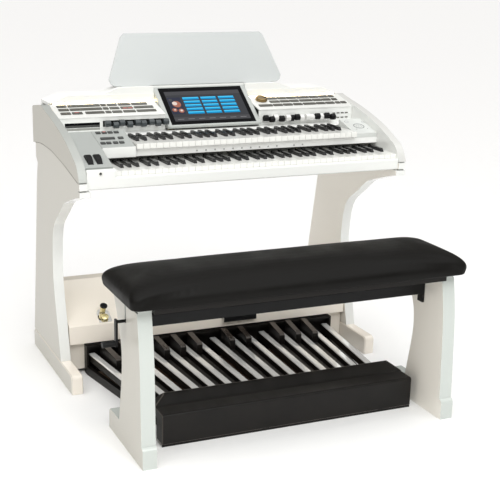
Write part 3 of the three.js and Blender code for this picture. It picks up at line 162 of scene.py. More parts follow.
class Nodes:
    """Short calls for the shader nodes that the finishes share."""

    def __init__(self, tree: bpy.types.NodeTree) -> None:
        """Keeps the material's node tree."""
        self.tree = tree

    def link(self, source: bpy.types.NodeSocket, target: bpy.types.NodeSocket) -> None:
        """Joins two sockets."""
        self.tree.links.new(source, target)

    def add(
        self, kind: str, output: str, inputs: dict[str | int, object], **settings: object
    ) -> bpy.types.NodeSocket:
        """Adds a node, sets its properties, and fills or joins its inputs.

        Args:
            kind: the node's type name.
            output: the name of the output that is used.
            inputs: a value or another node's output for each input.
            settings: properties to set on the node.

        Returns:
            The output.
        """
        node = self.tree.nodes.new(kind)
        for name, value in settings.items():
            setattr(node, name, value)
        for name, value in inputs.items():
            if isinstance(value, bpy.types.NodeSocket):
                self.link(value, node.inputs[name])
            else:
                node.inputs[name].default_value = value
        return node.outputs[output]

    def place(self, stretch: Rgb) -> bpy.types.NodeSocket:
        """Object coordinates, stretched."""
        coords = self.add("ShaderNodeTexCoord", "Object", {})
        return self.add("ShaderNodeMapping", "Vector", {"Vector": coords, "Scale": stretch})

    def noise(self, place: bpy.types.NodeSocket, scale: float, detail: float) -> bpy.types.NodeSocket:
        """A noise texture's factor."""
        return self.add("ShaderNodeTexNoise", "Fac", {"Vector": place, "Scale": scale, "Detail": detail})

    def cells(self, place: bpy.types.NodeSocket, scale: float) -> bpy.types.NodeSocket:
        """The distance from the middles of rounded cells, as in grained leather."""
        inputs = {"Vector": place, "Scale": scale, "Smoothness": CELL_SMOOTHNESS}
        return self.add("ShaderNodeTexVoronoi", "Distance", inputs, feature="SMOOTH_F1")

    def remap(self, value: bpy.types.NodeSocket, low: float, high: float) -> bpy.types.NodeSocket:
        """Spreads a noise's middle share over a range."""
        shares = {"From Min": NOISE_SHARE[0], "From Max": NOISE_SHARE[1]}
        return self.add("ShaderNodeMapRange", "Result", {"Value": value, "To Min": low, "To Max": high, **shares})

    def ramp(self, value: bpy.types.NodeSocket, low: Rgb, high: Rgb) -> bpy.types.NodeSocket:
        """Picks a colour between two by a factor.

        Args:
            value: the factor.
            low: the colour at its low end.
            high: the colour at its high end.

        Returns:
            The colour.
        """
        colour = self.add("ShaderNodeValToRGB", "Color", {"Fac": value})
        for stop, share, tone in zip(colour.node.color_ramp.elements, NOISE_SHARE, (low, high), strict=True):
            stop.position = share
            stop.color = (*tone, 1.0)
        return colour

    def blend(self, first: bpy.types.NodeSocket, second: bpy.types.NodeSocket) -> bpy.types.NodeSocket:
        """The sum of two factors."""
        return self.add("ShaderNodeMath", "Value", {0: first, 1: second}, operation="ADD")

    def bump(self, height: bpy.types.NodeSocket, strength: float) -> bpy.types.NodeSocket:
        """The normal over a relief."""
        inputs = {"Height": height, "Strength": strength, "Distance": RELIEF_DEPTH}
        return self.add("ShaderNodeBump", "Normal", inputs)


def lacquer(name: str, colour: Rgb, roughness: float) -> Finish:
    """An even white lacquer with a fine skin."""
    return Finish(name, colour, Pattern.LACQUER, roughness, variation=0.008, bump=0.01, spread=0.015)


def lit_glass(name: str, colour: Rgb, glow: float = 0.5) -> Finish:
    """One colour of the lit screen."""
    return Finish(name, colour, Pattern.POLISHED, 0.25, glow=glow, specular=0.02)


WHITE = Finish("white_lacquer", (0.84, 0.85, 0.83), Pattern.LACQUER, 0.16, coat=0.35, variation=0.008, spread=0.02)
MATT_WHITE = Finish("matt_white", (0.88, 0.88, 0.86), Pattern.LACQUER, 0.65, variation=0.006, bump=0.01, specular=0.1)
# A brighter copy of the white lacquer for the deck and slip: painted light where the upper keys shade the slip.
SLIP_PAINTED_LIGHT = lacquer("slip_white_painted_light", (0.95, 0.955, 0.94), 0.3)
# A darker copy of the white lacquer for the outer faces of the legs, feet and bench panels: painted shade.
OUTER_PAINTED_SHADE = lacquer("outer_white_painted_shade", (0.57, 0.555, 0.505), 0.34)
# A still darker copy of the white lacquer for the cheeks' outer faces: painted shade.
CHEEK_PAINTED_SHADE = lacquer("cheek_white_painted_shade", (0.475, 0.46, 0.41), 0.34)
# A lighter, warmer copy of the white lacquer for the inner faces of the legs and bench panels: painted light.
INNER_PAINTED_LIGHT = lacquer("inner_white_painted_light", (0.94, 0.905, 0.835), 0.3)
# A darker copy of the white lacquer for the bench panels' edges and the seat board's ends: painted shade.
BENCH_PAINTED_SHADE = Finish("bench_white_painted_shade", (0.55, 0.585, 0.56), Pattern.LACQUER, 0.22, coat=0.3, variation=0.008, spread=0.02)
# A lighter, warmer copy of the white lacquer for the pedal cabinet and the feet: painted light, with a painted warm
# reflection.
CREAM_PAINTED_LIGHT = Finish("cream_lacquer_painted_light", (0.93, 0.865, 0.775), Pattern.LACQUER, 0.24, coat=0.3, variation=0.012, spread=0.02)
PANEL = Finish("panel_white", (0.76, 0.765, 0.74), Pattern.LACQUER, 0.3, variation=0.01, spread=0.02)
SEAM = Finish("seam_shadow", (0.13, 0.115, 0.095), Pattern.MOULDED, 0.6, specular=0.2)
SILVER = Finish(
    "silver_grey", (0.415, 0.435, 0.42), Pattern.MOULDED, 0.4, metallic=0.15, variation=0.012, bump=0.03, spread=0.02
)
CHEEK_EDGE = Finish("cheek_edge", (0.425, 0.44, 0.42), Pattern.LACQUER, 0.38, metallic=0.1, variation=0.01, spread=0.02)
PALE_EDGE = Finish("pale_edge", (0.62, 0.62, 0.60), Pattern.LACQUER, 0.38, variation=0.01, spread=0.02)
PEARL = Finish(
    "pearl_white", (0.68, 0.70, 0.68), Pattern.MOULDED, 0.35, metallic=0.1, variation=0.01, bump=0.03, spread=0.02
)
IVORY = Finish("key_white", (0.84, 0.84, 0.81), Pattern.POLISHED, 0.18, coat=0.4, variation=0.015)
EBONY = Finish("key_black", (0.006, 0.006, 0.0065), Pattern.POLISHED, 0.26, variation=0.1, specular=0.25)
BLACK = Finish("black_moulding", (0.006, 0.006, 0.0065), Pattern.MOULDED, 0.45, bump=0.12, specular=0.15)
# Near black. It paints the shade in the wheels' slots, the dial's dimple and the band behind the left drawbars, and
# colours the slip's seam and the socket's hole.
DARK_SLOT = Finish("slot_shadow", (0.008, 0.008, 0.008), Pattern.MOULDED, 0.7, specular=0.1)
BLACK_WOOD = Finish(
    "black_satin_paint", (0.0085, 0.0073, 0.0064), Pattern.GRAIN, 0.4, variation=0.25, bump=0.1, specular=0.2
)
BOARD_BLACK = Finish(
    "black_board", (0.0085, 0.0073, 0.0064), Pattern.GRAIN, 0.38, variation=0.25, bump=0.1, specular=0.22
)
# A lighter brown on the heel board's rounded edges: a painted highlight.
PAINTED_EDGE_HIGHLIGHT = Finish("painted_edge_highlight", (0.050, 0.042, 0.035), Pattern.GRAIN, 0.32, variation=0.3, bump=0.05)
BLACK_METAL = Finish("black_painted_metal", (0.006, 0.006, 0.0065), Pattern.PAINT, 0.4, bump=0.08, specular=0.2)
STEEL = Finish(
    "pedal_cap", (0.98, 0.98, 0.97), Pattern.POLISHED, 0.1, metallic=0.5, variation=0.02, bump=0.0, spread=0.02
)
CHROME = Finish("chrome", (0.84, 0.84, 0.85), Pattern.POLISHED, 0.06, metallic=1.0, spread=0.02)
GOLD = Finish("gold_cap", (0.80, 0.70, 0.38), Pattern.POLISHED, 0.26, metallic=0.6, spread=0.03)
BRONZE = Finish("bronze", (0.24, 0.165, 0.07), Pattern.BRUSHED, 0.34, metallic=0.8, variation=0.12, spread=0.05)
SHARP_BODY = Finish("sharp_side", (0.009, 0.0075, 0.0068), Pattern.GRAIN, 0.32, variation=0.3, specular=0.22)
SHARP_TOP = Finish("sharp_top", (0.046, 0.036, 0.030), Pattern.GRAIN, 0.3, variation=0.3, bump=0.06)
BASE_BROWN = Finish("brown_base", (0.20, 0.13, 0.085), Pattern.GRAIN, 0.45, variation=0.3, bump=0.1)
HIDE = Finish(
    "black_leather", (0.0055, 0.0051, 0.0046), Pattern.LEATHER, 0.47, variation=0.15, bump=0.16, specular=0.11
)
LAMP = Finish("warm_lamp", (1.0, 0.72, 0.36), Pattern.POLISHED, 0.5, glow=15.0)
BUTTON = Finish("button_grey", (0.085, 0.083, 0.072), Pattern.MOULDED, 0.42, variation=0.1, bump=0.06)
DARK_BUTTON = Finish("button_dark", (0.045, 0.048, 0.046), Pattern.MOULDED, 0.36, variation=0.12, bump=0.06)
DRAWBAR_GREY = Finish("drawbar_grey", (0.040, 0.049, 0.053), Pattern.MOULDED, 0.36, variation=0.12, bump=0.08)
DRAWBAR_WHITE = Finish("drawbar_white", (0.74, 0.74, 0.72), Pattern.MOULDED, 0.35, variation=0.02)
MARK = Finish("grey_mark", (0.22, 0.235, 0.235), Pattern.MOULDED, 0.5)
FAINT_MARK = Finish("faint_mark", (0.44, 0.46, 0.455), Pattern.MOULDED, 0.5)
WINDOW = Finish("window_grey", (0.07, 0.073, 0.07), Pattern.POLISHED, 0.2, specular=0.3)
# Mid grey: the strip under the window, and painted shadow on the back faces of the groove under each leg's arm.
GREY_STRIP_AND_GROOVE_SHADE = Finish("window_strip_and_groove_shade", (0.30, 0.305, 0.285), Pattern.MOULDED)
RED = Finish("red_light", (0.50, 0.09, 0.08), Pattern.POLISHED, 0.3, glow=0.3)
BEZEL = Finish("screen_bezel", (0.004, 0.0042, 0.005), Pattern.POLISHED, 0.25, specular=0.02, spread=0.02)
ACRYLIC = Finish(
    "clear_acrylic", (0.60, 0.625, 0.625), Pattern.POLISHED, 0.34, alpha=0.9, variation=0.003, bump=0.0, spread=0.01
)
FLOOR_WHITE = Finish("studio_floor", (0.95, 0.95, 0.95), Pattern.PAINT, 0.6, variation=0.0)


class Lit(IntEnum):
    """The screen's colours, in the order of its materials."""

    GROUND = 0
    STRIP = 1
    BLUE = 2
    SKY = 3
    WARM = 4
    PALE = 5
    LINE = 6
    LIGHT_BLUE = 7


SCREEN_FINISHES = {
    Lit.GROUND: lit_glass("screen_ground", (0.028, 0.029, 0.033)),
    Lit.STRIP: lit_glass("screen_strip", (0.040, 0.040, 0.044)),
    Lit.BLUE: lit_glass("screen_blue", (0.004, 0.155, 0.33), 0.55),
    Lit.SKY: lit_glass("screen_picture_sky", (0.020, 0.022, 0.036)),
    Lit.WARM: lit_glass("screen_picture_warm", (0.22, 0.085, 0.06)),
    Lit.PALE: lit_glass("screen_picture_pale", (0.42, 0.36, 0.33)),
    Lit.LINE: lit_glass("screen_line", (0.16, 0.16, 0.17), 0.4),
    Lit.LIGHT_BLUE: lit_glass("screen_light_blue", (0.04, 0.31, 0.50)),
}


# Shapes


@dataclass
class Piece:
    """A dressed copy of a CAD node: its edges rounded and its faces given their finishes."""

    node: str
    finishes: Sequence[Finish]
    slot: str
    body: str = ROOT
    edge: float = 0.001
    segments: int = 2
    edge_finish: int = -1
    rule: Rule | None = None
    cuts: Sequence[tuple[Sequence[float], Sequence[float]]] = ()
    reshape: Callable[[bmesh.types.BMesh], None] | None = None

    def build(self) -> bpy.types.Object:
        """Makes the piece and hides the CAD node that it copies.

        Returns:
            The new object.
        """
        shape = node_shape(self.node)
        if self.reshape:
            self.reshape(shape)
        for point, normal in self.cuts:
            bmesh.ops.bisect_plane(shape, geom=[*shape.verts, *shape.edges, *shape.faces],
                                   plane_co=point, plane_no=normal)
        if self.rule:
            for face in shape.faces:
                face.material_index = self.rule(face)
        round_edges(shape, self.edge, self.segments, material=self.edge_finish)
        made = solid_object(f"{self.node}_piece", shape, self.finishes, self.body)
        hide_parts(self.node)
        return made


def node_shape(node: str) -> bmesh.types.BMesh:
    """Copies a CAD node into the frame with its flat faces joined.

    Args:
        node: the node's name.

    Returns:
        The new mesh.
    """
    shape = bmesh.new()
    shape.from_mesh(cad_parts[node].data)
    shape.transform(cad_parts[node].matrix_world)
    bmesh.ops.remove_doubles(shape, verts=shape.verts, dist=DOUBLE_GAP)
    bmesh.ops.dissolve_limit(
        shape, angle_limit=math.radians(FLAT_TURN), verts=shape.verts, edges=shape.edges, delimit={"NORMAL"}
    )
    return shape


def bevel(
    shape: bmesh.types.BMesh, edges: Sequence[bmesh.types.BMEdge], width: float, segments: int = 2, material: int = -1
) -> list[bmesh.types.BMVert]:
    """Rounds some of a mesh's edges.

    Args:
        shape: the mesh to work on.
        edges: the edges to round.
        width: the rounding's width in metres.
        segments: its steps.
        material: the rounded faces' material, or -1 for that of their neighbours.

    Returns:
        The new vertices.
    """
    return bmesh.ops.bevel(
        shape, geom=edges, offset=width, segments=segments, profile=0.5, affect="EDGES", clamp_overlap=True,
        material=material,
    )["verts"]


def round_edges(
    shape: bmesh.types.BMesh, width: float, segments: int = 2, least: float = 28.0, material: int = -1
) -> None:
    """Bevels the edges that turn by more than an angle.

    Args:
        shape: the mesh to work on.
        width: the bevel's width in metres.
        segments: its steps.
        least: the smallest turn in degrees that is bevelled.
        material: the rounded faces' material, or -1 for that of their neighbours.
    """
    if width <= 0:
        return
    sharp = [e for e in shape.edges if len(e.link_faces) == 2 and e.calc_face_angle(0.0) > math.radians(least)]
    bevel(shape, sharp, width, segments, material)


def solid_object(
    name: str, shape: bmesh.types.BMesh, finishes: Sequence[Finish], body: str, smooth: float = 40.0
) -> bpy.types.Object:
    """Turns a mesh into an object that rides on a body.

    Args:
        name: the object's name.
        shape: its mesh, which is freed.
        finishes: its materials in the order of the faces' indices.
        body: the CAD body that carries it.
        smooth: the largest turn in degrees that is shaded smooth.

    Returns:
        The new object.
    """
    mesh = bpy.data.meshes.new(name)
    shape.to_mesh(mesh)
    shape.free()
    for finish in finishes:
        mesh.materials.append(finish.material())
    mesh.polygons.foreach_set("use_smooth", [True] * len(mesh.polygons))
    mesh.set_sharp_from_angle(angle=math.radians(smooth))
    made = bpy.data.objects.new(name, mesh)
    bpy.context.scene.collection.objects.link(made)
    weighted = made.modifiers.new("weighted normals", "WEIGHTED_NORMAL")
    weighted.keep_sharp = True
    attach(made, body)
    log.info("piece %s: %d faces on %s", name, len(mesh.polygons), body)
    return made


def highest(face: bmesh.types.BMFace, axis: int = 2) -> float:
    """The face's largest coordinate along an axis."""
    return max(v.co[axis] for v in face.verts)


def lowest(face: bmesh.types.BMFace, axis: int = 2) -> float:
    """The face's smallest coordinate along an axis."""
    return min(v.co[axis] for v in face.verts)


def block(shape: bmesh.types.BMesh, x: Span, y: Span, z: Span, index: int = 0,
          turn: Matrix | None = None) -> list[bmesh.types.BMVert]:
    """Adds a box to a mesh.

    Args:
        shape: the mesh to add to.
        x: its span along X.
        y: its span along Y.
        z: its span along Z.
        index: the material of its faces.
        turn: an optional transform of the finished box.

    Returns:
        The box's vertices.
    """
    spans = (x, y, z)
    size = Matrix.Diagonal((*[b - a for a, b in spans], 1.0))
    middle = Matrix.Translation([(a + b) / 2 for a, b in spans])
    place = (turn or Matrix.Identity(4)) @ middle @ size
    made = bmesh.ops.create_cube(shape, size=1.0, matrix=place)["verts"]
    for face in {f for v in made for f in v.link_faces}:
        face.material_index = index
    return made


def button(shape: bmesh.types.BMesh, x: Span, y: Span, z: Span, index: int, edge: float,
           turn: Matrix | None = None) -> None:
    """Adds a key cap: a box with rounded upper edges.

    Args:
        shape: the mesh to add to.
        x: its span along X.
        y: its span along Y.
        z: its span along Z.
        index: the material of its faces.
        edge: the rounding's width.
        turn: an optional transform of the finished cap.
    """
    made = block(shape, x, y, z, index)
    top = [e for e in {e for v in made for e in v.link_edges} if sum(v.co.z > (z[0] + z[1]) / 2 for v in e.verts) > 0]
    rounded = bevel(shape, top, edge)
    verts = {v for v in made if v.is_valid} | set(rounded)
    if turn:
        bmesh.ops.transform(shape, matrix=turn, verts=list(verts))


@dataclass
class Detail:
    """Small parts of one sub-assembly, made together in one mesh."""

    name: str
    finishes: Sequence[Finish]
    slot: str
    body: str = ROOT
    shape: bmesh.types.BMesh = field(default_factory=bmesh.new)

    def block(self, x: Span, y: Span, z: Span, index: int = 0, turn: Matrix | None = None) -> None:
        """Adds a plain bar."""
        block(self.shape, x, y, z, index, turn)

    def cap(self, x: Span, y: Span, z: Span, index: int = 0, turn: Matrix | None = None,
            edge: float = 0.0004) -> None:
        """Adds a bar with rounded upper edges."""
        button(self.shape, x, y, z, index, edge, turn)

    def disc(self, radius: float, z: Span, turn: Matrix, index: int = 0, sides: int = 24) -> None:
        """Adds a short upright cylinder.

        Args:
            radius: its radius.
            z: its span along its own axis.
            turn: the transform that places it.
            index: the material of its faces.
            sides: its side count.
        """
        middle = Matrix.Translation((0, 0, (z[0] + z[1]) / 2))
        made = bmesh.ops.create_cone(
            self.shape, cap_ends=True, segments=sides, radius1=radius, radius2=radius,
            depth=z[1] - z[0], matrix=turn @ middle,
        )["verts"]
        for face in {f for v in made for f in v.link_faces}:
            face.material_index = index

    def ring(self, inner: float, outer: float, rise: float, turn: Matrix, index: int = 0, steps: int = 32) -> None:
        """Adds a ring with a rounded section that lies on its own plane.

        Args:
            inner: its inner radius.
            outer: its outer radius.
            rise: its height.
            turn: the transform that places it.
            index: the material of its faces.
            steps: the steps round it.
        """
        middle, half = (inner + outer) / 2, (outer - inner) / 2
        place = Matrix.Translation((middle, 0, 0)) @ Matrix.Diagonal((half, 1, rise, 1))
        place = place @ Matrix.Rotation(math.radians(90), 4, "X")
        before = set(self.shape.faces)
        section = bmesh.ops.create_circle(
            self.shape, cap_ends=False, segments=RING_SIDES, radius=1.0, matrix=place
        )["verts"]
        edges = list({e for v in section for e in v.link_edges})
        bmesh.ops.spin(
            self.shape, geom=[*section, *edges], cent=(0, 0, 0), axis=(0, 0, 1), steps=steps,
            angle=math.radians(360), use_merge=True,
        )
        made = [f for f in self.shape.faces if f not in before]
        for face in made:
            face.material_index = index
        bmesh.ops.transform(self.shape, matrix=turn, verts=list({v for f in made for v in f.verts}))

    def caps_over(
        self, node: str, pick: Callable[[bmesh.types.BMFace], bool], margin: tuple[float, float], rise: float
    ) -> None:
        """Adds a thicker cap over each button of a plate.

        Args:
            node: the plate's node.
            pick: chooses the buttons' flat tops.
            margin: how far a cap reaches past its button across and along.
            rise: how far it stands over the button's top.
        """
        shape = node_shape(node)
        for face in [f for f in shape.faces if len(f.verts) == 4 and f.normal.z > TOP_TILT and pick(f)]:
            centre = face.calc_center_median()
            angle = math.atan2(-face.normal.y, face.normal.z)
            across = (highest(face, 0) - lowest(face, 0)) / 2 + margin[0]
            along = (highest(face, 1) - lowest(face, 1)) / 2 / math.cos(angle) + margin[1]
            place = Matrix.Translation(centre) @ Matrix.Rotation(angle, 4, "X")
            self.cap((-across, across), (-along, along), (-CAP_SINK, rise), turn=place, edge=rise * CAP_ROUNDING)
        shape.free()

    def knob(self, centre: Vector, half: float, radius: float, index: int, ridges: int = 9) -> None:
        """Adds a ridged roller that lies across, the cap of a drawbar.

        Args:
            centre: its centre.
            half: half its width.
            radius: its radius.
            index: the material of its faces.
            ridges: the ridges round it.
        """
        place = Matrix.Translation(centre) @ Matrix.Rotation(math.radians(90), 4, "Y")
        made = bmesh.ops.create_cone(
            self.shape, cap_ends=True, segments=2 * ridges, radius1=radius, radius2=radius, depth=2 * half,
            matrix=Matrix.Identity(4),
        )["verts"]
        for vertex in made:
            turn = round(math.atan2(vertex.co.y, vertex.co.x) / math.pi * ridges)
            if turn % 2:
                vertex.co.x *= 1 - GROOVE_DEPTH / radius
                vertex.co.y *= 1 - GROOVE_DEPTH / radius
        edges = {e for v in made for e in v.link_edges}
        rims = [e for e in edges if abs(e.verts[0].co.z - e.verts[1].co.z) < LEVEL_GAP]
        rounded = bevel(self.shape, rims, KNOB_RIM)
        verts = {v for v in made if v.is_valid} | set(rounded)
        for face in {f for v in verts for f in v.link_faces}:
            face.material_index = index
        bmesh.ops.transform(self.shape, matrix=place, verts=list(verts))

    def build(self) -> bpy.types.Object:
        """Turns the parts into one object.

        Returns:
            The new object.
        """
        bmesh.ops.recalc_face_normals(self.shape, faces=self.shape.faces)
        return solid_object(self.name, self.shape, self.finishes, self.body)


def about(middle: float, half: float) -> Span:
    """The span that reaches as far on both sides of a middle."""
    return (middle - half, middle + half)


def shifted(start: float, span: Span) -> Span:
    """A span moved along by its start."""
    return (start + span[0], start + span[1])


def on_slope(y: float, z: float, angle: float) -> Matrix:
    """The frame whose Y runs up a slope from a point."""
    return Matrix.Translation((0, y, z)) @ Matrix.Rotation(angle, 4, "X")


# Sub-assemblies


@dataclass
class Cabinetwork:
    """The white boards: cheeks, legs, feet, keybed, deck, lid, back and pedal cabinet."""

    edge: float = 0.0016
    fine_edge: float = 0.0008
    arm_groove: Span = (0.7505, 0.7565)
    lid_tilt: tuple[float, float] = (0.3, -0.05)
    slip_front: float = 0.020
    slip_span: Span = (0.828, 0.853)
    slip_seam: float = -0.365
    slip_seam_half: float = 0.0007
    slip_seam_depth: Span = (-0.0004, 0.001)
    slip_seam_ends: Span = (0.0005, 0.0015)
    piston_rise: float = 0.0005
    rail_front: float = -0.134
    jack: tuple[float, float] = (-0.531, 0.807)
    jack_radius: float = 0.0033
    jack_rings: tuple[tuple[float, float, float], ...] = ((0.001, 0.0052, 0.0014), (-0.0001, 0.0013, 0.0012))
    jack_play: float = 0.0002
    jack_floor: Span = (-0.009, -0.008)
    lid_front: float = 0.338
    ledge_half: float = 0.5765
    ledge_inner: float = 0.1835
    ledge_depth: Span = (-0.0075, 0.011)
    ledge_height: Span = (0.962, 0.9655)
    hollow: tuple[tuple[float, float], ...] = (
        (-0.5535, 0.9623), (-0.530, 0.9687), (-0.519, 0.9727), (-0.501, 0.9795),
    )
    strip_span: Span = (0.4545, 0.4632)
    joint_x: float = 0.6045
    joint: tuple[tuple[float, float], ...] = (
        (-0.122, 0.7805), (-0.066, 0.7905), (-0.012, 0.8005), (0.044, 0.8098), (0.100, 0.8175), (0.156, 0.8248),
        (0.208, 0.8298), (0.258, 0.8318), (0.309, 0.8322), (0.361, 0.8308), (0.390, 0.8278), (0.438, 0.8210),
    )
    joint_line: tuple[Span, Span] = ((-0.001, 0.001), (-0.0013, 0.0007))
    joint_lap: float = 0.0004

    def build(self) -> None:
        """Dresses each board."""
        # Each cheek, leg and foot gets darker copies of the lacquer on its outer faces as painted shade; each leg gets
        # a lighter copy on its inner face and each foot a lighter, warmer one elsewhere, both painted light.
        for side, rim in (("left", CHEEK_EDGE), ("right", PALE_EDGE)):
            self.board(f"cheek_{side}", [WHITE, CHEEK_PAINTED_SHADE, rim], self.cheek)
            self.board(f"leg_{side}", [WHITE, OUTER_PAINTED_SHADE, INNER_PAINTED_LIGHT, GREY_STRIP_AND_GROOVE_SHADE], self.leg)
            self.board(f"foot_{side}", [CREAM_PAINTED_LIGHT, OUTER_PAINTED_SHADE], lambda face: int(self.outward(face) > FACING))
        self.board("keybed", [WHITE])
        # The deck and slip get the brighter white: painted light.
        Piece("upper_deck", [SLIP_PAINTED_LIGHT, FAINT_MARK], "white_lacquer", edge=self.fine_edge, rule=self.piston).build()
        self.board("top_lid", [WHITE, MATT_WHITE], self.lid)
        self.board("back_panel", [WHITE])
        # The pedal cabinet gets the lighter, warmer white: painted light, with a painted warm reflection.
        self.board("pedal_cabinet", [CREAM_PAINTED_LIGHT])
        Piece("inlet_plate", [BLACK], "black_plastic", edge=self.fine_edge).build()
        self.fittings()

    def board(self, node: str, finishes: Sequence[Finish], rule: Rule | None = None) -> None:
        """Dresses one lacquered board."""
        Piece(node, finishes, "white_lacquer", edge=self.edge, rule=rule).build()

    @staticmethod
    def outward(face: bmesh.types.BMFace) -> float:
        """How much a face looks away from the organ's middle."""
        return face.normal.x * math.copysign(1.0, face.calc_center_median().x)

    def cheek(self, face: bmesh.types.BMFace) -> int:
        """A cheek's outer face, which gets painted shade, its rim and its inner face."""
        out = self.outward(face)
        return 1 if out > FACING else 2 if out > -FACING else 0

    def leg(self, face: bmesh.types.BMFace) -> int:
        """Tells a leg's outer face, which gets painted shade, its inner face, which gets painted light, and the painted
        shadow in the groove under its arm.

        Args:
            face: a face of the leg.

        Returns:
            The index of its finish.
        """
        # The groove's back faces get the grey strip finish: painted shadow.
        if self.arm_groove[0] < lowest(face) and highest(face) < self.arm_groove[1] and abs(face.normal.y) > FACING:
            return 3
        out = self.outward(face)
        return 1 if out > FACING else 2 if out < -FACING else 0

    def lid(self, face: bmesh.types.BMFace) -> int:
        """The lid's matt top, which lies flat or slopes to the rear."""
        return int(face.normal.z > self.lid_tilt[0] and face.normal.y > self.lid_tilt[1])

    def piston(self, face: bmesh.types.BMFace) -> int:
        """The small pistons that stand out of the slip."""
        return int(lowest(face, 1) < self.slip_front - self.piston_rise)

    def fittings(self) -> None:
        """Adds the socket's rings and sleeve, the seams, the ledge behind the button panels and the rear strip."""
        socket = Detail("headphone_socket", [IVORY, DARK_SLOT], "chrome")
        facing = Matrix.Translation((self.jack[0], self.rail_front, self.jack[1]))
        facing = facing @ Matrix.Rotation(math.radians(90), 4, "X")
        for index, (inner, outer, rise) in enumerate(self.jack_rings):
            socket.ring(self.jack_radius + inner, self.jack_radius + outer, rise, facing, index=index)
        socket.disc(self.jack_radius - self.jack_play, self.jack_floor, facing, index=1)
        socket.build()
        self.cheek_seams()
        seam = Detail("slip_seam", [DARK_SLOT], "black_plastic")
        seam.block(
            about(self.slip_seam, self.slip_seam_half), shifted(self.slip_front, self.slip_seam_depth),
            (self.slip_span[0] + self.slip_seam_ends[0], self.slip_span[1] - self.slip_seam_ends[1]),
        )
        seam.build()
        ledge = Detail("panel_ledge", [WHITE], "white_lacquer")
        depth = shifted(self.lid_front, self.ledge_depth)
        ledge.block((-self.ledge_half, -self.ledge_inner), depth, self.ledge_height)
        ledge.block((self.ledge_inner, self.ledge_half), depth, self.ledge_height)
        ledge.build()
        self.rear_strip()

    def rear_strip(self) -> None:
        """Closes the lid's hollow at the rear with a strip over the back panel."""
        strip = Detail("lid_rear_strip", [WHITE], "white_lacquer")
        outline = [*self.hollow, *[(-x, z) for x, z in reversed(self.hollow)]]
        front, rear = self.strip_span
        end = strip.shape.faces.new([strip.shape.verts.new((x, front, z)) for x, z in outline])
        pulled = bmesh.ops.extrude_face_region(strip.shape, geom=[end])["geom"]
        moved = [item for item in pulled if isinstance(item, bmesh.types.BMVert)]
        bmesh.ops.translate(strip.shape, vec=(0, rear - front, 0), verts=moved)
        strip.build()

    def cheek_seams(self) -> None:
        """Lays the shadow line in the joint between each cheek and its leg."""
        across, deep = self.joint_line
        for name, side in (("left", -1.0), ("right", 1.0)):
            line = Detail(f"cheek_seam_{name}", [SEAM], "black_plastic")
            for (y0, z0), (y1, z1) in zip(self.joint[:-1], self.joint[1:], strict=True):
                length, angle = math.hypot(y1 - y0, z1 - z0), math.atan2(z1 - z0, y1 - y0)
                place = Matrix.Translation((side * self.joint_x, y0, z0)) @ Matrix.Rotation(angle, 4, "X")
                line.block(across, (-self.joint_lap, length + self.joint_lap), deep, turn=place)
            line.build()


@dataclass
class Manuals:
    """The two keyboards, with rounded white and black keys."""

    tops: tuple[tuple[str, float], ...] = (("lower_manual", 0.809), ("upper_manual", 0.873))
    proud: float = 0.001
    edge: float = 0.0007
    moving_count: int = 7

    def build(self) -> None:
        """Dresses both manuals and the seven keys that move."""
        for node, top in self.tops:
            Piece(node, [IVORY, EBONY], "ivory_plastic", edge=self.edge,
                  rule=lambda face, top=top: int(highest(face) > top + self.proud)).build()
        for order in range(1, self.moving_count + 1):
            name = f"lower_manual_key_{order}"
            Piece(name, [IVORY], "ivory_plastic", body=name, edge=self.edge).build()


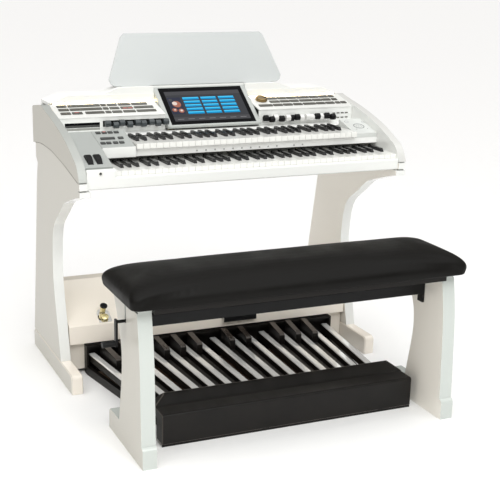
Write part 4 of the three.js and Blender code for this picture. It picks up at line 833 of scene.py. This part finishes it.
@dataclass
class EndBlocks:
    """The silver blocks beside the manuals, with their wheels and preset buttons."""

    edge: float = 0.0007
    touch_edge: float = 0.0004
    touch_rise: float = 0.0004
    wheel_edge: float = 0.0016
    surface: tuple[tuple[float, float], ...] = ((-0.1097, 0.825), (0.013, 0.863), (0.146, 0.899))
    wheels_x: tuple[float, ...] = (-0.549, -0.5187)
    wheel_y: float = -0.054
    slot_half: float = 0.0098
    slot_reach: float = 0.042
    slot_foot: float = 0.775
    slot_rim: float = 0.0003
    front_tilt: float = -0.6
    button_rise: float = 0.0012
    button_area: float = 9e-4
    first_button_y: float = 0.03
    cap_margin: tuple[float, float] = (0.0012, 0.0008)
    cap_rise: float = 0.0022
    lit: tuple[float, float] = (-0.4387, 0.126)
    lit_spans: tuple[Span, Span, Span] = ((-0.0055, 0.0045), (0.001, 0.0055), (0.002, 0.0042))
    rings: tuple[tuple[float, float, float], ...] = (
        (0.503, 0.122, 0.008), (0.568, 0.112, 0.006), (0.533, 0.080, 0.011),
    )
    ring_width: float = 0.0012
    ring_rise: float = 0.0003
    dots: tuple[tuple[float, float], ...] = ((0.533, 0.080), (0.556, 0.055), (0.510, 0.055))
    dot_radius: float = 0.0022
    dot_rise: float = 0.0004

    def build(self) -> None:
        """Dresses the three blocks and the wheels."""
        Piece("wheel_block", [SILVER, DARK_SLOT], "silver_grey", edge=self.edge, rule=self.in_slot).build()
        Piece("preset_block", [SILVER, DARK_BUTTON, WHITE], "silver_grey", edge=self.edge, rule=self.preset).build()
        Piece("touch_block", [PEARL, MARK], "silver_grey", edge=self.touch_edge,
              rule=lambda face: int(self.height(face) > self.touch_rise)).build()
        for node in ("pitch_wheel", "mod_wheel"):
            Piece(node, [BLACK], "black_plastic", body=node, edge=self.wheel_edge, segments=3).build()
        self.preset_caps()
        self.touch_marks()

    def surface_z(self, y: float) -> float:
        """Follows the blocks' surface.

        Args:
            y: the depth.

        Returns:
            Its height there.
        """
        (y0, z0), (y1, z1), (y2, z2) = self.surface
        if y < y1:
            return z0 + (z1 - z0) * (y - y0) / (y1 - y0)
        return z1 + (z2 - z1) * (y - y1) / (y2 - y1)

    def height(self, face: bmesh.types.BMFace) -> float:
        """How far a face rises over the blocks' surface."""
        return max(v.co.z - self.surface_z(v.co.y) for v in face.verts)

    def in_slot(self, face: bmesh.types.BMFace) -> int:
        """Tells the walls of the wheels' slots, which get the near-black slot finish as painted shade.

        Args:
            face: a face of the wheel block.

        Returns:
            One for a slot's wall, or zero.
        """
        centre = face.calc_center_median()
        near = any(abs(centre.x - x) < self.slot_half for x in self.wheels_x)
        within = abs(centre.y - self.wheel_y) < self.slot_reach and centre.z > self.slot_foot
        return int(near and within and centre.z < self.surface_z(centre.y) - self.slot_rim)

    def preset(self, face: bmesh.types.BMFace) -> int:
        """Tells the preset buttons and the white front of their block.

        Args:
            face: a face of the preset block.

        Returns:
            The index of its finish.
        """
        centre = face.calc_center_median()
        if face.normal.y < self.front_tilt and centre.y < self.first_button_y:
            return 2
        return int(self.height(face) > self.button_rise and centre.y > self.first_button_y)

    def on_surface(self, x: float, y: float) -> Matrix:
        """The frame of a point on the blocks' rear slope."""
        angle = math.atan2(self.surface[2][1] - self.surface[1][1], self.surface[2][0] - self.surface[1][0])
        return Matrix.Translation((x, 0, 0)) @ on_slope(y, self.surface_z(y), angle)

    def preset_caps(self) -> None:
        """Adds thick caps over the preset buttons, one of them with a red spot."""
        caps = Detail("preset_caps", [DARK_BUTTON, RED], "black_plastic")
        caps.caps_over("preset_block", lambda face: face.calc_center_median().y > self.first_button_y
                       and face.calc_area() < self.button_area and self.height(face) > self.button_rise,
                       self.cap_margin, self.cap_rise)
        caps.cap(*self.lit_spans, 1, self.on_surface(*self.lit))
        caps.build()

    def touch_marks(self) -> None:
        """Adds the thin rings and dots printed round the touch pad."""
        marks = Detail("touch_marks", [MARK], "black_plastic")
        for x, y, radius in self.rings:
            marks.ring(radius - self.ring_width, radius, self.ring_rise, self.on_surface(x, y))
        for x, y in self.dots:
            marks.disc(self.dot_radius, (0.0, self.dot_rise), self.on_surface(x, y))
        marks.build()


@dataclass
class Controls:
    """Drawbar faces, button panels, dial and lamp."""

    edge: float = 0.0006
    face_front: float = 0.213
    bar_step: float = 0.001
    hair: float = 1e-4
    window: tuple[Span, Span] = ((-0.553, -0.427), (0.892, 0.9))
    window_depth: float = 0.0015
    window_rim: Span = (-0.0006, 0.0005)
    pane_inset: float = 0.001
    pane_depth: Span = (-0.0004, 0.001)
    pane_height: Span = (0.902, 0.9095)
    band: tuple[Span, Span] = ((-0.4165, -0.1865), (0.9015, 0.9225))
    band_depth: Span = (-0.0004, 0.0005)
    switches_from: float = 0.490
    switches_x: tuple[float, ...] = (0.498, 0.516, 0.534, 0.552)
    switches_z: tuple[float, ...] = (0.913, 0.896)
    switch_half: tuple[float, float] = (0.0055, 0.002)
    switch_rise: float = 0.0034
    panel_front: float = 0.210
    panel_z: float = 0.938
    panel_slope: float = 0.25
    panel_left: float = -0.5767
    panel_width: float = 0.3927
    button_rise: float = 0.001
    button_area: float = 2e-3
    cap_margin: tuple[float, float] = (0.0006, 0.0024)
    cap_rise: float = 0.0014
    lit: tuple[tuple[float, float], ...] = ((0.192, 0.036), (0.66, 0.062), (0.71, 0.062))
    lit_half: tuple[float, float] = (0.008, 0.0016)
    lit_height: Span = (0.0024, 0.0036)
    lit_edge: float = 0.0002
    left_bars_at: tuple[float, float, int] = (-0.4042, 0.0264, 9)
    right_start: float = 0.204
    right_pitch: float = 0.021
    right_colours: str = "kkwkwkkwwwkwkk"
    bar_heights: tuple[tuple[float, float], ...] = ((0.9147, 0.9093), (0.9079, 0.9041))
    handle_fronts: tuple[float, ...] = (0.184, 0.176, 0.189, 0.180, 0.172, 0.186, 0.178, 0.183, 0.174)
    handle_radius: float = 0.0118
    handle_setback: float = 0.009
    knob_halves: tuple[float, float] = (0.0097, 0.0092)
    dial: tuple[float, float] = (0.231, 0.089)
    dial_top: float = 0.013
    dimple_along: float = 0.0123
    dimple_radius: float = 0.0062
    dimple_depth: Span = (0.003, 0.0004)

    def build(self) -> None:
        """Dresses the plates and their controls."""
        self.plate("drawbar_panel_left", [WHITE, DRAWBAR_GREY, BEZEL], self.left_bars)
        self.plate("drawbar_panel_right", [WHITE, BLACK, DRAWBAR_WHITE], self.right_bars)
        for side in ("left", "right"):
            self.plate(f"button_panel_{side}", [WHITE, BUTTON, PANEL], self.is_button)
        Piece("data_dial", [BRONZE, DARK_SLOT], "bronze", body="data_dial", edge=self.edge, rule=self.dimple).build()
        Piece("lamp_strip", [WHITE, LAMP], "lamp", edge=0.0, rule=lambda face: int(face.normal.y < -FACING)).build()
        self.window_parts()
        self.panel_caps()
        self.knobs()

    def plate(self, node: str, finishes: Sequence[Finish], rule: Rule) -> None:
        """Dresses one plate with its buttons or drawbars."""
        Piece(node, finishes, "white_lacquer", edge=self.edge, rule=rule).build()

    def left_bars(self, face: bmesh.types.BMFace) -> int:
        """Tells the left drawbars and the floor of the window.

        Args:
            face: a face of the left drawbar plate.

        Returns:
            The index of its finish.
        """
        front = lowest(face, 1)
        if abs(front - self.face_front - self.window_depth) < self.hair and abs(face.normal.y) > FACING:
            return 2
        return int(front < self.face_front - self.bar_step)

    def right_bars(self, face: bmesh.types.BMFace) -> int:
        """Gives each right drawbar its colour.

        Args:
            face: a face of the right drawbar plate.

        Returns:
            The index of its finish.
        """
        x = face.calc_center_median().x
        if lowest(face, 1) > self.face_front - self.bar_step or x > self.switches_from:
            return 0
        return 1 + self.right_tone(x)

    def right_tone(self, x: float) -> int:
        """Zero for a black drawbar on the right and one for a white one."""
        order = round((x - self.right_start) / self.right_pitch)
        return int(self.right_colours[max(0, min(order, len(self.right_colours) - 1))] == "w")

    def is_button(self, face: bmesh.types.BMFace) -> int:
        """One for a face that stands over the sloping panel, two for the panel's top and zero for the rest."""
        rise = max(v.co.z - (self.panel_z + self.panel_slope * (v.co.y - self.panel_front)) for v in face.verts)
        return 1 if rise > self.button_rise else 2 if face.normal.z > TOP_TILT else 0

    def slope(self) -> Matrix:
        """The frame of the button panels."""
        return on_slope(self.panel_front, self.panel_z, math.atan(self.panel_slope))

    def dimple(self, face: bmesh.types.BMFace) -> int:
        """Tells the walls and the floor of the dial's finger dimple, which get the near-black slot finish as painted
        shade.

        Args:
            face: a face of the dial.

        Returns:
            One for the dimple, or zero.
        """
        local = self.slope().inverted() @ face.calc_center_median()
        across = math.hypot(local.x - self.dial[0] - self.dimple_along, local.y - self.dial[1])
        low, high = (self.dial_top - depth for depth in self.dimple_depth)
        return int(across < self.dimple_radius and low < local.z < high)

    def window_parts(self) -> None:
        """Adds the window's frame and pane, the band behind the left drawbars and the small switches."""
        front, (left, right) = self.face_front, self.window[0]
        parts = Detail("window_parts", [GREY_STRIP_AND_GROOVE_SHADE, DARK_SLOT, WINDOW, BUTTON], "black_plastic")
        parts.cap(self.window[0], shifted(front, self.window_rim), self.window[1])
        # The band behind the left drawbars is near black: painted shade of the slots behind the handles.
        parts.block(self.band[0], shifted(front, self.band_depth), self.band[1], index=1)
        pane = (left + self.pane_inset, right - self.pane_inset)
        parts.block(pane, shifted(front + self.window_depth, self.pane_depth), self.pane_height, index=2)
        wide, tall = self.switch_half
        for x in self.switches_x:
            for z in self.switches_z:
                parts.cap(about(x, wide), (front - self.switch_rise, front), about(z, tall), index=3)
        parts.build()

    def panel_caps(self) -> None:
        """Adds thick caps over the panels' buttons, some of them with a red light."""
        caps = Detail("panel_caps", [BUTTON, RED], "black_plastic")
        for side in ("left", "right"):
            caps.caps_over(f"button_panel_{side}",
                           lambda face: self.is_button(face) == 1 and face.calc_area() < self.button_area,
                           self.cap_margin, self.cap_rise)
        half, deep = self.lit_half
        for share, along in self.lit:
            x = self.panel_left + share * self.panel_width
            caps.cap(about(x, half), about(along, deep), self.lit_height, 1, self.slope(), edge=self.lit_edge)
        caps.build()

    def knobs(self) -> None:
        """Adds the ridged rollers of all the drawbars."""
        knobs = Detail("drawbar_knobs", [DRAWBAR_GREY, BLACK, DRAWBAR_WHITE], "black_plastic")
        start, pitch, count = self.left_bars_at
        left = [(start + order * pitch, 0) for order in range(count)]
        right = [self.right_start + order * self.right_pitch for order in range(len(self.right_colours))]
        for row, bars in enumerate((left, [(x, 1 + self.right_tone(x)) for x in right])):
            for order, (x, index) in enumerate(bars):
                y = self.handle_fronts[order % len(self.handle_fronts)] + self.handle_setback
                centre = Vector((x, y, self.bar_heights[row][order % 2]))
                knobs.knob(centre, self.knob_halves[row], self.handle_radius, index)
        knobs.build()


@dataclass
class Display:
    """The screen in its wedge housing, and the music desk."""

    edge: float = 0.0015
    glass_edge: float = 0.0006
    foot: tuple[float, float] = (0.185, 0.895)
    crest: tuple[float, float] = (0.354, 1.014)
    active: tuple[Span, Span] = ((-0.148, 0.149), (0.0245, 0.181))
    ground_height: Span = (-0.0001, 0.0001)
    sheet_height: Span = (0.0, 0.0002)
    header: Span = (-0.02, -0.001)
    footer: Span = (0.001, 0.021)
    columns: tuple[Span, ...] = ((-0.086, -0.022), (-0.0145, 0.0465), (0.0555, 0.118))
    first_row: float = 0.067
    row_pitch: float = 0.01875
    row_count: int = 5
    bar_half: float = 0.0068
    bar_height: Span = (0.0, 0.0003)
    bar_edge: float = 0.0002
    shine_inset: float = 0.001
    shine_margin: Span = (0.0005, 0.0008)
    shine_height: Span = (0.0002, 0.0004)
    tab_count: int = 7
    tab_start: float = 0.012
    tab_pitch: float = 0.041
    tab_width: float = 0.024
    tab_along: Span = (0.0095, 0.0115)
    tab_height: Span = (0.0001, 0.0003)
    picture: tuple[Span, Span] = ((-0.146, -0.0955), (0.062, 0.149))
    shapes: tuple[tuple[float, float, float, Lit], ...] = (
        (0.004, 0.052, 0.0165, Lit.WARM), (-0.003, 0.056, 0.0095, Lit.PALE), (0.009, 0.040, 0.0075, Lit.STRIP),
        (-0.012, 0.022, 0.0095, Lit.WARM), (0.012, 0.017, 0.0105, Lit.WARM), (0.013, 0.018, 0.005, Lit.PALE),
        (-0.014, 0.074, 0.0075, Lit.STRIP), (-0.011, 0.023, 0.0035, Lit.PALE),
    )
    shape_height: Span = (0.0001, 0.0003)
    shape_layer: float = 0.00002
    shape_taper: float = 0.002
    shape_lift: float = 0.00004

    def build(self) -> None:
        """Dresses the housing, the glass, the picture on it and the desk."""
        Piece("display_housing", [SILVER], "silver_grey", edge=self.edge).build()
        Piece("display_glass", [BEZEL], "screen_glass", edge=self.glass_edge).build()
        Piece("music_desk", [ACRYLIC], "acrylic", body="music_desk", edge=self.edge, segments=3).build()
        lit = Detail("screen_image", [SCREEN_FINISHES[index] for index in Lit], "screen_glass")
        slope = on_slope(*self.foot, math.atan2(self.crest[1] - self.foot[1], self.crest[0] - self.foot[0]))
        self.fields(lit, slope)
        self.tabs_and_picture(lit, slope)
        lit.build()

    def fields(self, lit: Detail, slope: Matrix) -> None:
        """Lays out the screen's ground, header, footer and blue fields.

        Args:
            lit: the screen's image.
            slope: its frame.
        """
        width, (low, high) = self.active
        lit.block(width, (low, high), self.ground_height, Lit.GROUND, slope)
        lit.block(width, shifted(high, self.header), self.sheet_height, Lit.STRIP, slope)
        lit.block(width, shifted(low, self.footer), self.sheet_height, Lit.STRIP, slope)
        for left, right in self.columns:
            for row in range(self.row_count):
                along = self.first_row + row * self.row_pitch
                lit.cap((left, right), about(along, self.bar_half), self.bar_height, Lit.BLUE, slope, self.bar_edge)
                shine = (along + self.shine_margin[0], along + self.bar_half - self.shine_margin[1])
                lit.block((left + self.shine_inset, right - self.shine_inset), shine, self.shine_height,
                          Lit.LIGHT_BLUE, slope)

    def tabs_and_picture(self, lit: Detail, slope: Matrix) -> None:
        """Lays out the footer's tabs and a plain picture of round shapes.

        Args:
            lit: the screen's image.
            slope: its frame.
        """
        (left, _), (low, _) = self.active
        for order in range(self.tab_count):
            x = left + self.tab_start + order * self.tab_pitch
            lit.block((x, x + self.tab_width), shifted(low, self.tab_along), self.tab_height, Lit.LINE, slope)
        (near, far), (bottom, top) = self.picture
        lit.block((near, far), (bottom, top), self.sheet_height, Lit.SKY, slope)
        middle = (near + far) / 2
        base, crown = self.shape_height
        for across, along, radius, index in self.shapes:
            place = slope @ Matrix.Translation((middle + across, bottom + along, 0))
            rise = crown + index * self.shape_layer - radius * self.shape_taper + self.shape_lift
            lit.disc(radius, (base, rise), place, index)


@dataclass
class Pedals:
    """Pedalboard, heel board, swell pedal and toe pistons."""

    natural_top: float = 0.079
    natural_edge: float = 0.0012
    cap_depth: float = 0.005
    shoulder: float = 0.0045
    shoulder_steps: int = 4
    rim_turn: float = 60.0
    flat: float = 0.0005
    hair: float = 1e-4
    moving_count: int = 12
    sharp_orders: tuple[int, ...] = (2, 4, 7, 9, 11)
    sharp_foot: float = 0.085
    sharp_edge: float = 0.0022
    worn_tilt: float = 0.4
    toe_box_front: float = 0.1655
    base_top: float = 0.008
    base_edge: float = 0.0016
    rail_from: float = 0.43
    rail_until: Span = (-0.46, -0.4)
    rail_top: float = 0.0305
    rail_tuck: float = 0.06
    heel_edge: float = 0.0028
    swell_x: float = 0.105
    swell_half: float = 0.068
    swell_edge: float = 0.0012
    side_play: float = 0.001
    side_area: float = 2e-4
    toe_edge: float = 0.0008
    slope_foot: tuple[float, float] = (0.177, 0.186)
    slope_top: tuple[float, float] = (0.382, 0.302)
    toe_caps: tuple[float, float] = (0.0073, 0.0333)
    toe_middle: float = 0.041
    lower_neck: float = 0.0018
    toe_play: float = 0.0002

    def build(self) -> None:
        """Dresses the pedalboard's pieces."""
        cut = self.natural_top - self.cap_depth
        plane = [((0, 0, cut), (0, 0, 1))]
        for order in range(1, self.moving_count + 1):
            name = f"pedal_{order}"
            if order in self.sharp_orders:
                Piece(name, [SHARP_BODY, SHARP_TOP], "rosewood", body=name, edge=self.sharp_edge, segments=3,
                      rule=self.sharp_rule).build()
            else:
                Piece(name, [BLACK_WOOD, STEEL], "pedal_metal", body=name, edge=self.natural_edge, cuts=plane,
                      reshape=self.crown_caps, rule=lambda face: int(lowest(face) > cut - self.hair)).build()
        Piece("pedalboard_frame", [BLACK_WOOD, STEEL, SHARP_BODY, SHARP_TOP, BASE_BROWN], "black_wood",
              edge=self.base_edge, cuts=plane, rule=self.frame_rule, reshape=self.reshape_frame).build()
        # The heel board's rounded edges take the lighter brown: painted highlight.
        Piece("heel_board", [BOARD_BLACK, PAINTED_EDGE_HIGHLIGHT], "black_wood", edge=self.heel_edge, segments=3,
              edge_finish=1).build()
        Piece("swell_pedal", [BLACK, CHROME], "black_plastic", body="swell_pedal", edge=self.swell_edge,
              rule=self.swell_rule).build()
        Piece("toe_switch_plate", [CHROME], "chrome", edge=self.toe_edge).build()
        for name, cap in (("toe_piston_lower", GOLD), ("toe_piston_upper", BLACK)):
            Piece(name, [CHROME, GOLD, cap], "chrome", body=name, edge=self.toe_edge, rule=self.piston_rule).build()

    def crown_caps(self, shape: bmesh.types.BMesh) -> None:
        """Rounds the shoulders of the naturals' metal caps.

        Args:
            shape: a mesh with naturals in it.
        """
        rims = [
            edge for edge in shape.edges
            if all(abs(v.co.z - self.natural_top) < self.flat for v in edge.verts)
            and len(edge.link_faces) == 2 and edge.calc_face_angle(0.0) > math.radians(self.rim_turn)
        ]
        bevel(shape, rims, self.shoulder, self.shoulder_steps)

    def reshape_frame(self, shape: bmesh.types.BMesh) -> None:
        """Crowns the fixed caps and turns the base's side rails in, so that they lie under the outer pedals.

        Args:
            shape: the pedalboard's frame.
        """
        self.crown_caps(shape)
        for vertex in shape.verts:
            beside = self.rail_until[0] < vertex.co.y < self.rail_until[1]
            if abs(vertex.co.x) > self.rail_from and beside and vertex.co.z < self.rail_top:
                vertex.co.x -= math.copysign(self.rail_tuck, vertex.co.x)

    def sharp_rule(self, face: bmesh.types.BMFace) -> int:
        """The upper face of a sharp's raised part, which gets a lighter brown than its sides."""
        return int(lowest(face) > self.sharp_foot and face.normal.z > self.worn_tilt)

    def frame_rule(self, face: bmesh.types.BMFace) -> int:
        """Puts metal on the fixed naturals, two tones on the fixed sharps and brown on the base.

        Args:
            face: a face of the pedalboard's frame.

        Returns:
            The index of its finish.
        """
        if highest(face) > self.sharp_foot and highest(face, 1) < self.toe_box_front:
            return 2 + self.sharp_rule(face)
        top = self.natural_top
        if lowest(face) > top - self.cap_depth - self.hair and highest(face) < top + self.hair:
            return 1
        return 4 if highest(face) < self.base_top + self.hair and face.normal.z > FACING else 0

    def swell_rule(self, face: bmesh.types.BMFace) -> int:
        """Tells the bright side edges of the swell pedal.

        Args:
            face: a face of the swell pedal.

        Returns:
            One for a bright edge, or zero.
        """
        side = abs(face.calc_center_median().x - self.swell_x)
        at_side = abs(face.normal.x) > FACING and abs(side - self.swell_half) < self.side_play
        return int(at_side and face.calc_area() > self.side_area)

    def piston_rule(self, face: bmesh.types.BMFace) -> int:
        """Tells a toe piston's stem, its neck and its domed cap.

        Args:
            face: a face of the piston.

        Returns:
            The index of its finish.
        """
        slope = math.atan2(self.slope_top[1] - self.slope_foot[1], self.slope_top[0] - self.slope_foot[0])
        local = on_slope(*self.slope_foot, slope).inverted() @ face.calc_center_median()
        upper = local.y > self.toe_middle
        cap_from = self.toe_caps[int(upper)] + (0.0 if upper else self.lower_neck)
        if local.z < self.toe_caps[0] - self.toe_play:
            return 0
        return 2 if local.z > cap_from - self.toe_play else 1


@dataclass
class Bench:
    """Bench panels, beam, seat board, crank and cushion."""

    edge: float = 0.0018
    beam_edge: float = 0.0008
    board_edge: float = 0.0012
    crank_edge: float = 0.001
    panel_faces: Span = (-0.515, 0.491)
    end_depth: Span = (-0.580, -0.350)
    end_step: float = 0.001
    voxel: float = 0.005
    start_share: float = 0.985
    centre: tuple[float, float, float] = (-0.012, -0.461, 0.4966)
    pressure: float = 4.0
    stretch_stiffness: float = 80.0
    shear_stiffness: float = 60.0
    bend_stiffness: float = 40.0
    frame_count: int = 20
    most_move: float = 0.007
    flat_below: float = 0.501
    overhang: tuple[float, float, float] = (0.008, 0.0, 0.0)

    def build(self) -> None:
        """Dresses the bench and makes its cushion."""
        # Each bench panel gets painted shade on its edges and outer face and painted light on its inner face.
        for side in ("left", "right"):
            Piece(f"bench_panel_{side}", [BENCH_PAINTED_SHADE, OUTER_PAINTED_SHADE, INNER_PAINTED_LIGHT], "white_lacquer", edge=self.edge,
                  rule=self.panel).build()
        Piece("bench_crossbeam", [BLACK_METAL], "black_metal", body="bench_seat", edge=self.beam_edge).build()
        Piece("bench_seat_board", [BLACK_WOOD, BENCH_PAINTED_SHADE], "black_wood", body="bench_seat", edge=self.board_edge,
              rule=self.board_end, reshape=self.narrow_ends).build()
        Piece("bench_crank", [BLACK_METAL], "black_metal", body="bench_crank", edge=self.crank_edge).build()
        self.cushion()

    def narrow_ends(self, shape: bmesh.types.BMesh) -> None:
        """Cuts the seat board's ends back to the depth of the panels' tops.

        Args:
            shape: the seat board.
        """
        for face, side in zip(self.panel_faces, (-1, 1), strict=True):
            for place in (face, face - side * self.end_step):
                bmesh.ops.bisect_plane(shape, geom=[*shape.verts, *shape.edges, *shape.faces],
                                       plane_co=(place, 0, 0), plane_no=(1, 0, 0))
            for vertex in shape.verts:
                if (vertex.co.x - face) * side > -self.end_step / 2:
                    vertex.co.y = min(max(vertex.co.y, self.end_depth[0]), self.end_depth[1])

    def board_end(self, face: bmesh.types.BMFace) -> int:
        """The seat board's white ends over the panels, in the bench's darker white: painted shade."""
        x = face.calc_center_median().x
        return int(not self.panel_faces[0] < x < self.panel_faces[1])

    def panel(self, face: bmesh.types.BMFace) -> int:
        """A panel's outer face, which gets painted shade, and its inner face, which gets painted light."""
        out = Cabinetwork.outward(face)
        return 1 if out > FACING else 2 if out < -FACING else 0

    def cushion(self) -> None:
        """Makes the upholstered seat: the CAD form remeshed, blown up as cloth and smoothed."""
        shape = bmesh.new()
        shape.from_mesh(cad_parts["bench_cushion"].data)
        bmesh.ops.remove_doubles(shape, verts=shape.verts, dist=DOUBLE_GAP)
        made = solid_object("bench_cushion_piece", shape, [HIDE], "bench_seat", smooth=180.0)
        made.modifiers.clear()
        remesh = made.modifiers.new("remesh", "REMESH")
        remesh.mode = "VOXEL"
        remesh.voxel_size = self.voxel
        remesh.use_smooth_shade = True
        bake(made)
        self.inflate(made)
        self.fit(made)
        soften = made.modifiers.new("soften", "SUBSURF")
        soften.levels = soften.render_levels = 1
        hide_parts("bench_cushion")

    def inflate(self, made: bpy.types.Object) -> None:
        """Lets cloth pressure fill the cover, with its flat base held.

        Args:
            made: the cushion, already remeshed.
        """
        mesh = made.data
        middle = Vector(self.centre)
        for vertex in mesh.vertices:
            vertex.co = middle + (vertex.co - middle) * self.start_share
        rest = [v.co.copy() for v in mesh.vertices]
        held = made.vertex_groups.new(name="held")
        held.add([v.index for v in mesh.vertices if v.co.z < self.flat_below], 1.0, "REPLACE")
        cloth = made.modifiers.new("cloth", "CLOTH")
        cloth.settings.use_pressure = True
        cloth.settings.uniform_pressure_force = self.pressure
        cloth.settings.tension_stiffness = self.stretch_stiffness
        cloth.settings.compression_stiffness = self.stretch_stiffness
        cloth.settings.shear_stiffness = self.shear_stiffness
        cloth.settings.bending_stiffness = self.bend_stiffness
        cloth.settings.effector_weights.gravity = 0.0
        cloth.settings.vertex_group_mass = "held"
        cloth.collision_settings.use_collision = False
        cloth.point_cache.frame_start = 1
        cloth.point_cache.frame_end = self.frame_count
        scene = bpy.context.scene
        for step in range(1, self.frame_count + 1):
            scene.frame_set(step)
        bake(made)
        scene.frame_set(1)
        for vertex, start in zip(made.data.vertices, rest, strict=True):
            move = vertex.co - start
            if move.length > self.most_move:
                vertex.co = start + move.normalized() * self.most_move

    def fit(self, made: bpy.types.Object) -> None:
        """Brings the cover back to the solid's width, depth and height, with a little overhang.

        Args:
            made: the inflated cushion.
        """
        solid = [v.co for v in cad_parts["bench_cushion"].data.vertices]
        cover = [v.co for v in made.data.vertices]
        for axis in range(3):
            low, high = (pick(v[axis] for v in solid) for pick in (min, max))
            start, end = (pick(v[axis] for v in cover) for pick in (min, max))
            low, high = low - self.overhang[axis], high + self.overhang[axis]
            for vertex in made.data.vertices:
                vertex.co[axis] = low + (vertex.co[axis] - start) * (high - low) / (end - start)


def bake(made: bpy.types.Object) -> None:
    """Applies an object's modifiers to its mesh.

    Args:
        made: the object, whose modifiers are then removed.
    """
    bpy.context.view_layer.update()
    graph = bpy.context.evaluated_depsgraph_get()
    mesh = bpy.data.meshes.new_from_object(made.evaluated_get(graph))
    made.modifiers.clear()
    made.data = mesh


# Stage


@dataclass(frozen=True)
class SoftBox:
    """A square soft light that faces the organ."""

    name: str
    place: tuple[float, float, float]
    size: float
    power: float
    colour: Rgb


@dataclass
class Studio:
    """Pale floor, soft light and the camera."""

    floor_half: float = 300.0
    boxes: tuple[SoftBox, ...] = (
        SoftBox("key", (-0.3, -4.2, 3.7), 3.0, 104.0, (0.97, 1.0, 0.985)),
        SoftBox("side", (-3.2, -2.6, 1.2), 1.6, 18.0, (1.0, 0.93, 0.82)),
    )
    aim: tuple[float, float, float] = (0.0, 0.0, 0.5)
    sky_toward: tuple[float, float, float] = (-0.05, -0.2, 1.0)
    sky_spread: float = 85.0
    sky_strength: float = 2.7
    world_colour: Rgb = (1.0, 0.96, 0.9)
    world_strength: float = 0.25
    place: tuple[float, float, float] = (-1.5057, -3.3926, 1.4894)
    yaw: float = -22.72
    pitch: float = 16.423
    roll: float = 0.905
    focal: float = 1074.98
    centre: tuple[float, float] = (211.6, 270.17)
    frame_size: float = 500.0
    sensor: float = 36.0
    far: float = 1000.0

    def build(self) -> None:
        """Makes the floor, the lights and the camera."""
        self.floor()
        for box in self.boxes:
            self.light(box)
        self.sky()
        world = bpy.data.worlds.new("studio")
        world.use_nodes = True
        background = world.node_tree.nodes["Background"]
        background.inputs["Color"].default_value = (*self.world_colour, 1.0)
        background.inputs["Strength"].default_value = self.world_strength
        bpy.context.scene.world = world
        bpy.context.scene.view_settings.view_transform = "Standard"
        self.camera()

    def floor(self) -> None:
        """A wide pale floor."""
        shape = bmesh.new()
        bmesh.ops.create_grid(shape, x_segments=1, y_segments=1, size=self.floor_half)
        mesh = bpy.data.meshes.new("floor")
        shape.to_mesh(mesh)
        shape.free()
        made = bpy.data.objects.new("floor", mesh)
        mesh.materials.append(FLOOR_WHITE.material())
        bpy.context.scene.collection.objects.link(made)

    def light(self, box: SoftBox) -> None:
        """Hangs a soft light.

        Args:
            box: its place, size, power and colour.
        """
        lamp = bpy.data.lights.new(box.name, "AREA")
        lamp.size = box.size
        lamp.energy = box.power
        lamp.color = box.colour
        made = bpy.data.objects.new(box.name, lamp)
        made.location = box.place
        made.rotation_euler = (Vector(self.aim) - Vector(box.place)).to_track_quat("-Z", "Y").to_euler()
        bpy.context.scene.collection.objects.link(made)

    def sky(self) -> None:
        """Adds an even, very soft light from above that reaches the whole floor."""
        lamp = bpy.data.lights.new("sky", "SUN")
        lamp.angle = math.radians(self.sky_spread)
        lamp.energy = self.sky_strength
        made = bpy.data.objects.new("sky", lamp)
        made.rotation_euler = (-Vector(self.sky_toward)).to_track_quat("-Z", "Y").to_euler()
        bpy.context.scene.collection.objects.link(made)

    def camera(self) -> None:
        """The camera at the photograph's place, focal length and shift."""
        yaw, pitch, roll = (math.radians(a) for a in (self.yaw, self.pitch, self.roll))
        back = Vector((math.sin(yaw) * math.cos(pitch), -math.cos(yaw) * math.cos(pitch), math.sin(pitch)))
        right = Vector((math.cos(yaw), math.sin(yaw), 0.0))
        up = back.cross(right)
        tilted = math.cos(roll) * right + math.sin(roll) * up
        upright = -math.sin(roll) * right + math.cos(roll) * up
        lens = bpy.data.cameras.new("camera")
        lens.sensor_width = self.sensor
        lens.lens = self.focal / self.frame_size * self.sensor
        lens.shift_x = (self.frame_size / 2 - self.centre[0]) / self.frame_size
        lens.shift_y = (self.centre[1] - self.frame_size / 2) / self.frame_size
        lens.clip_end = self.far
        made = bpy.data.objects.new("camera", lens)
        turn = Matrix((tilted, upright, back)).transposed()
        made.matrix_world = Matrix.Translation(self.place) @ turn.to_4x4()
        bpy.context.scene.collection.objects.link(made)
        bpy.context.scene.camera = made


def main() -> None:
    """Builds every sub-assembly, then the studio."""
    logging.basicConfig(level=logging.INFO, format="%(name)s: %(message)s")
    for part in (Cabinetwork(), Manuals(), EndBlocks(), Controls(), Display(), Pedals(), Bench(), Studio()):
        part.build()
        log.info("%s done", type(part).__name__)


if __name__ == "__main__":
    main()
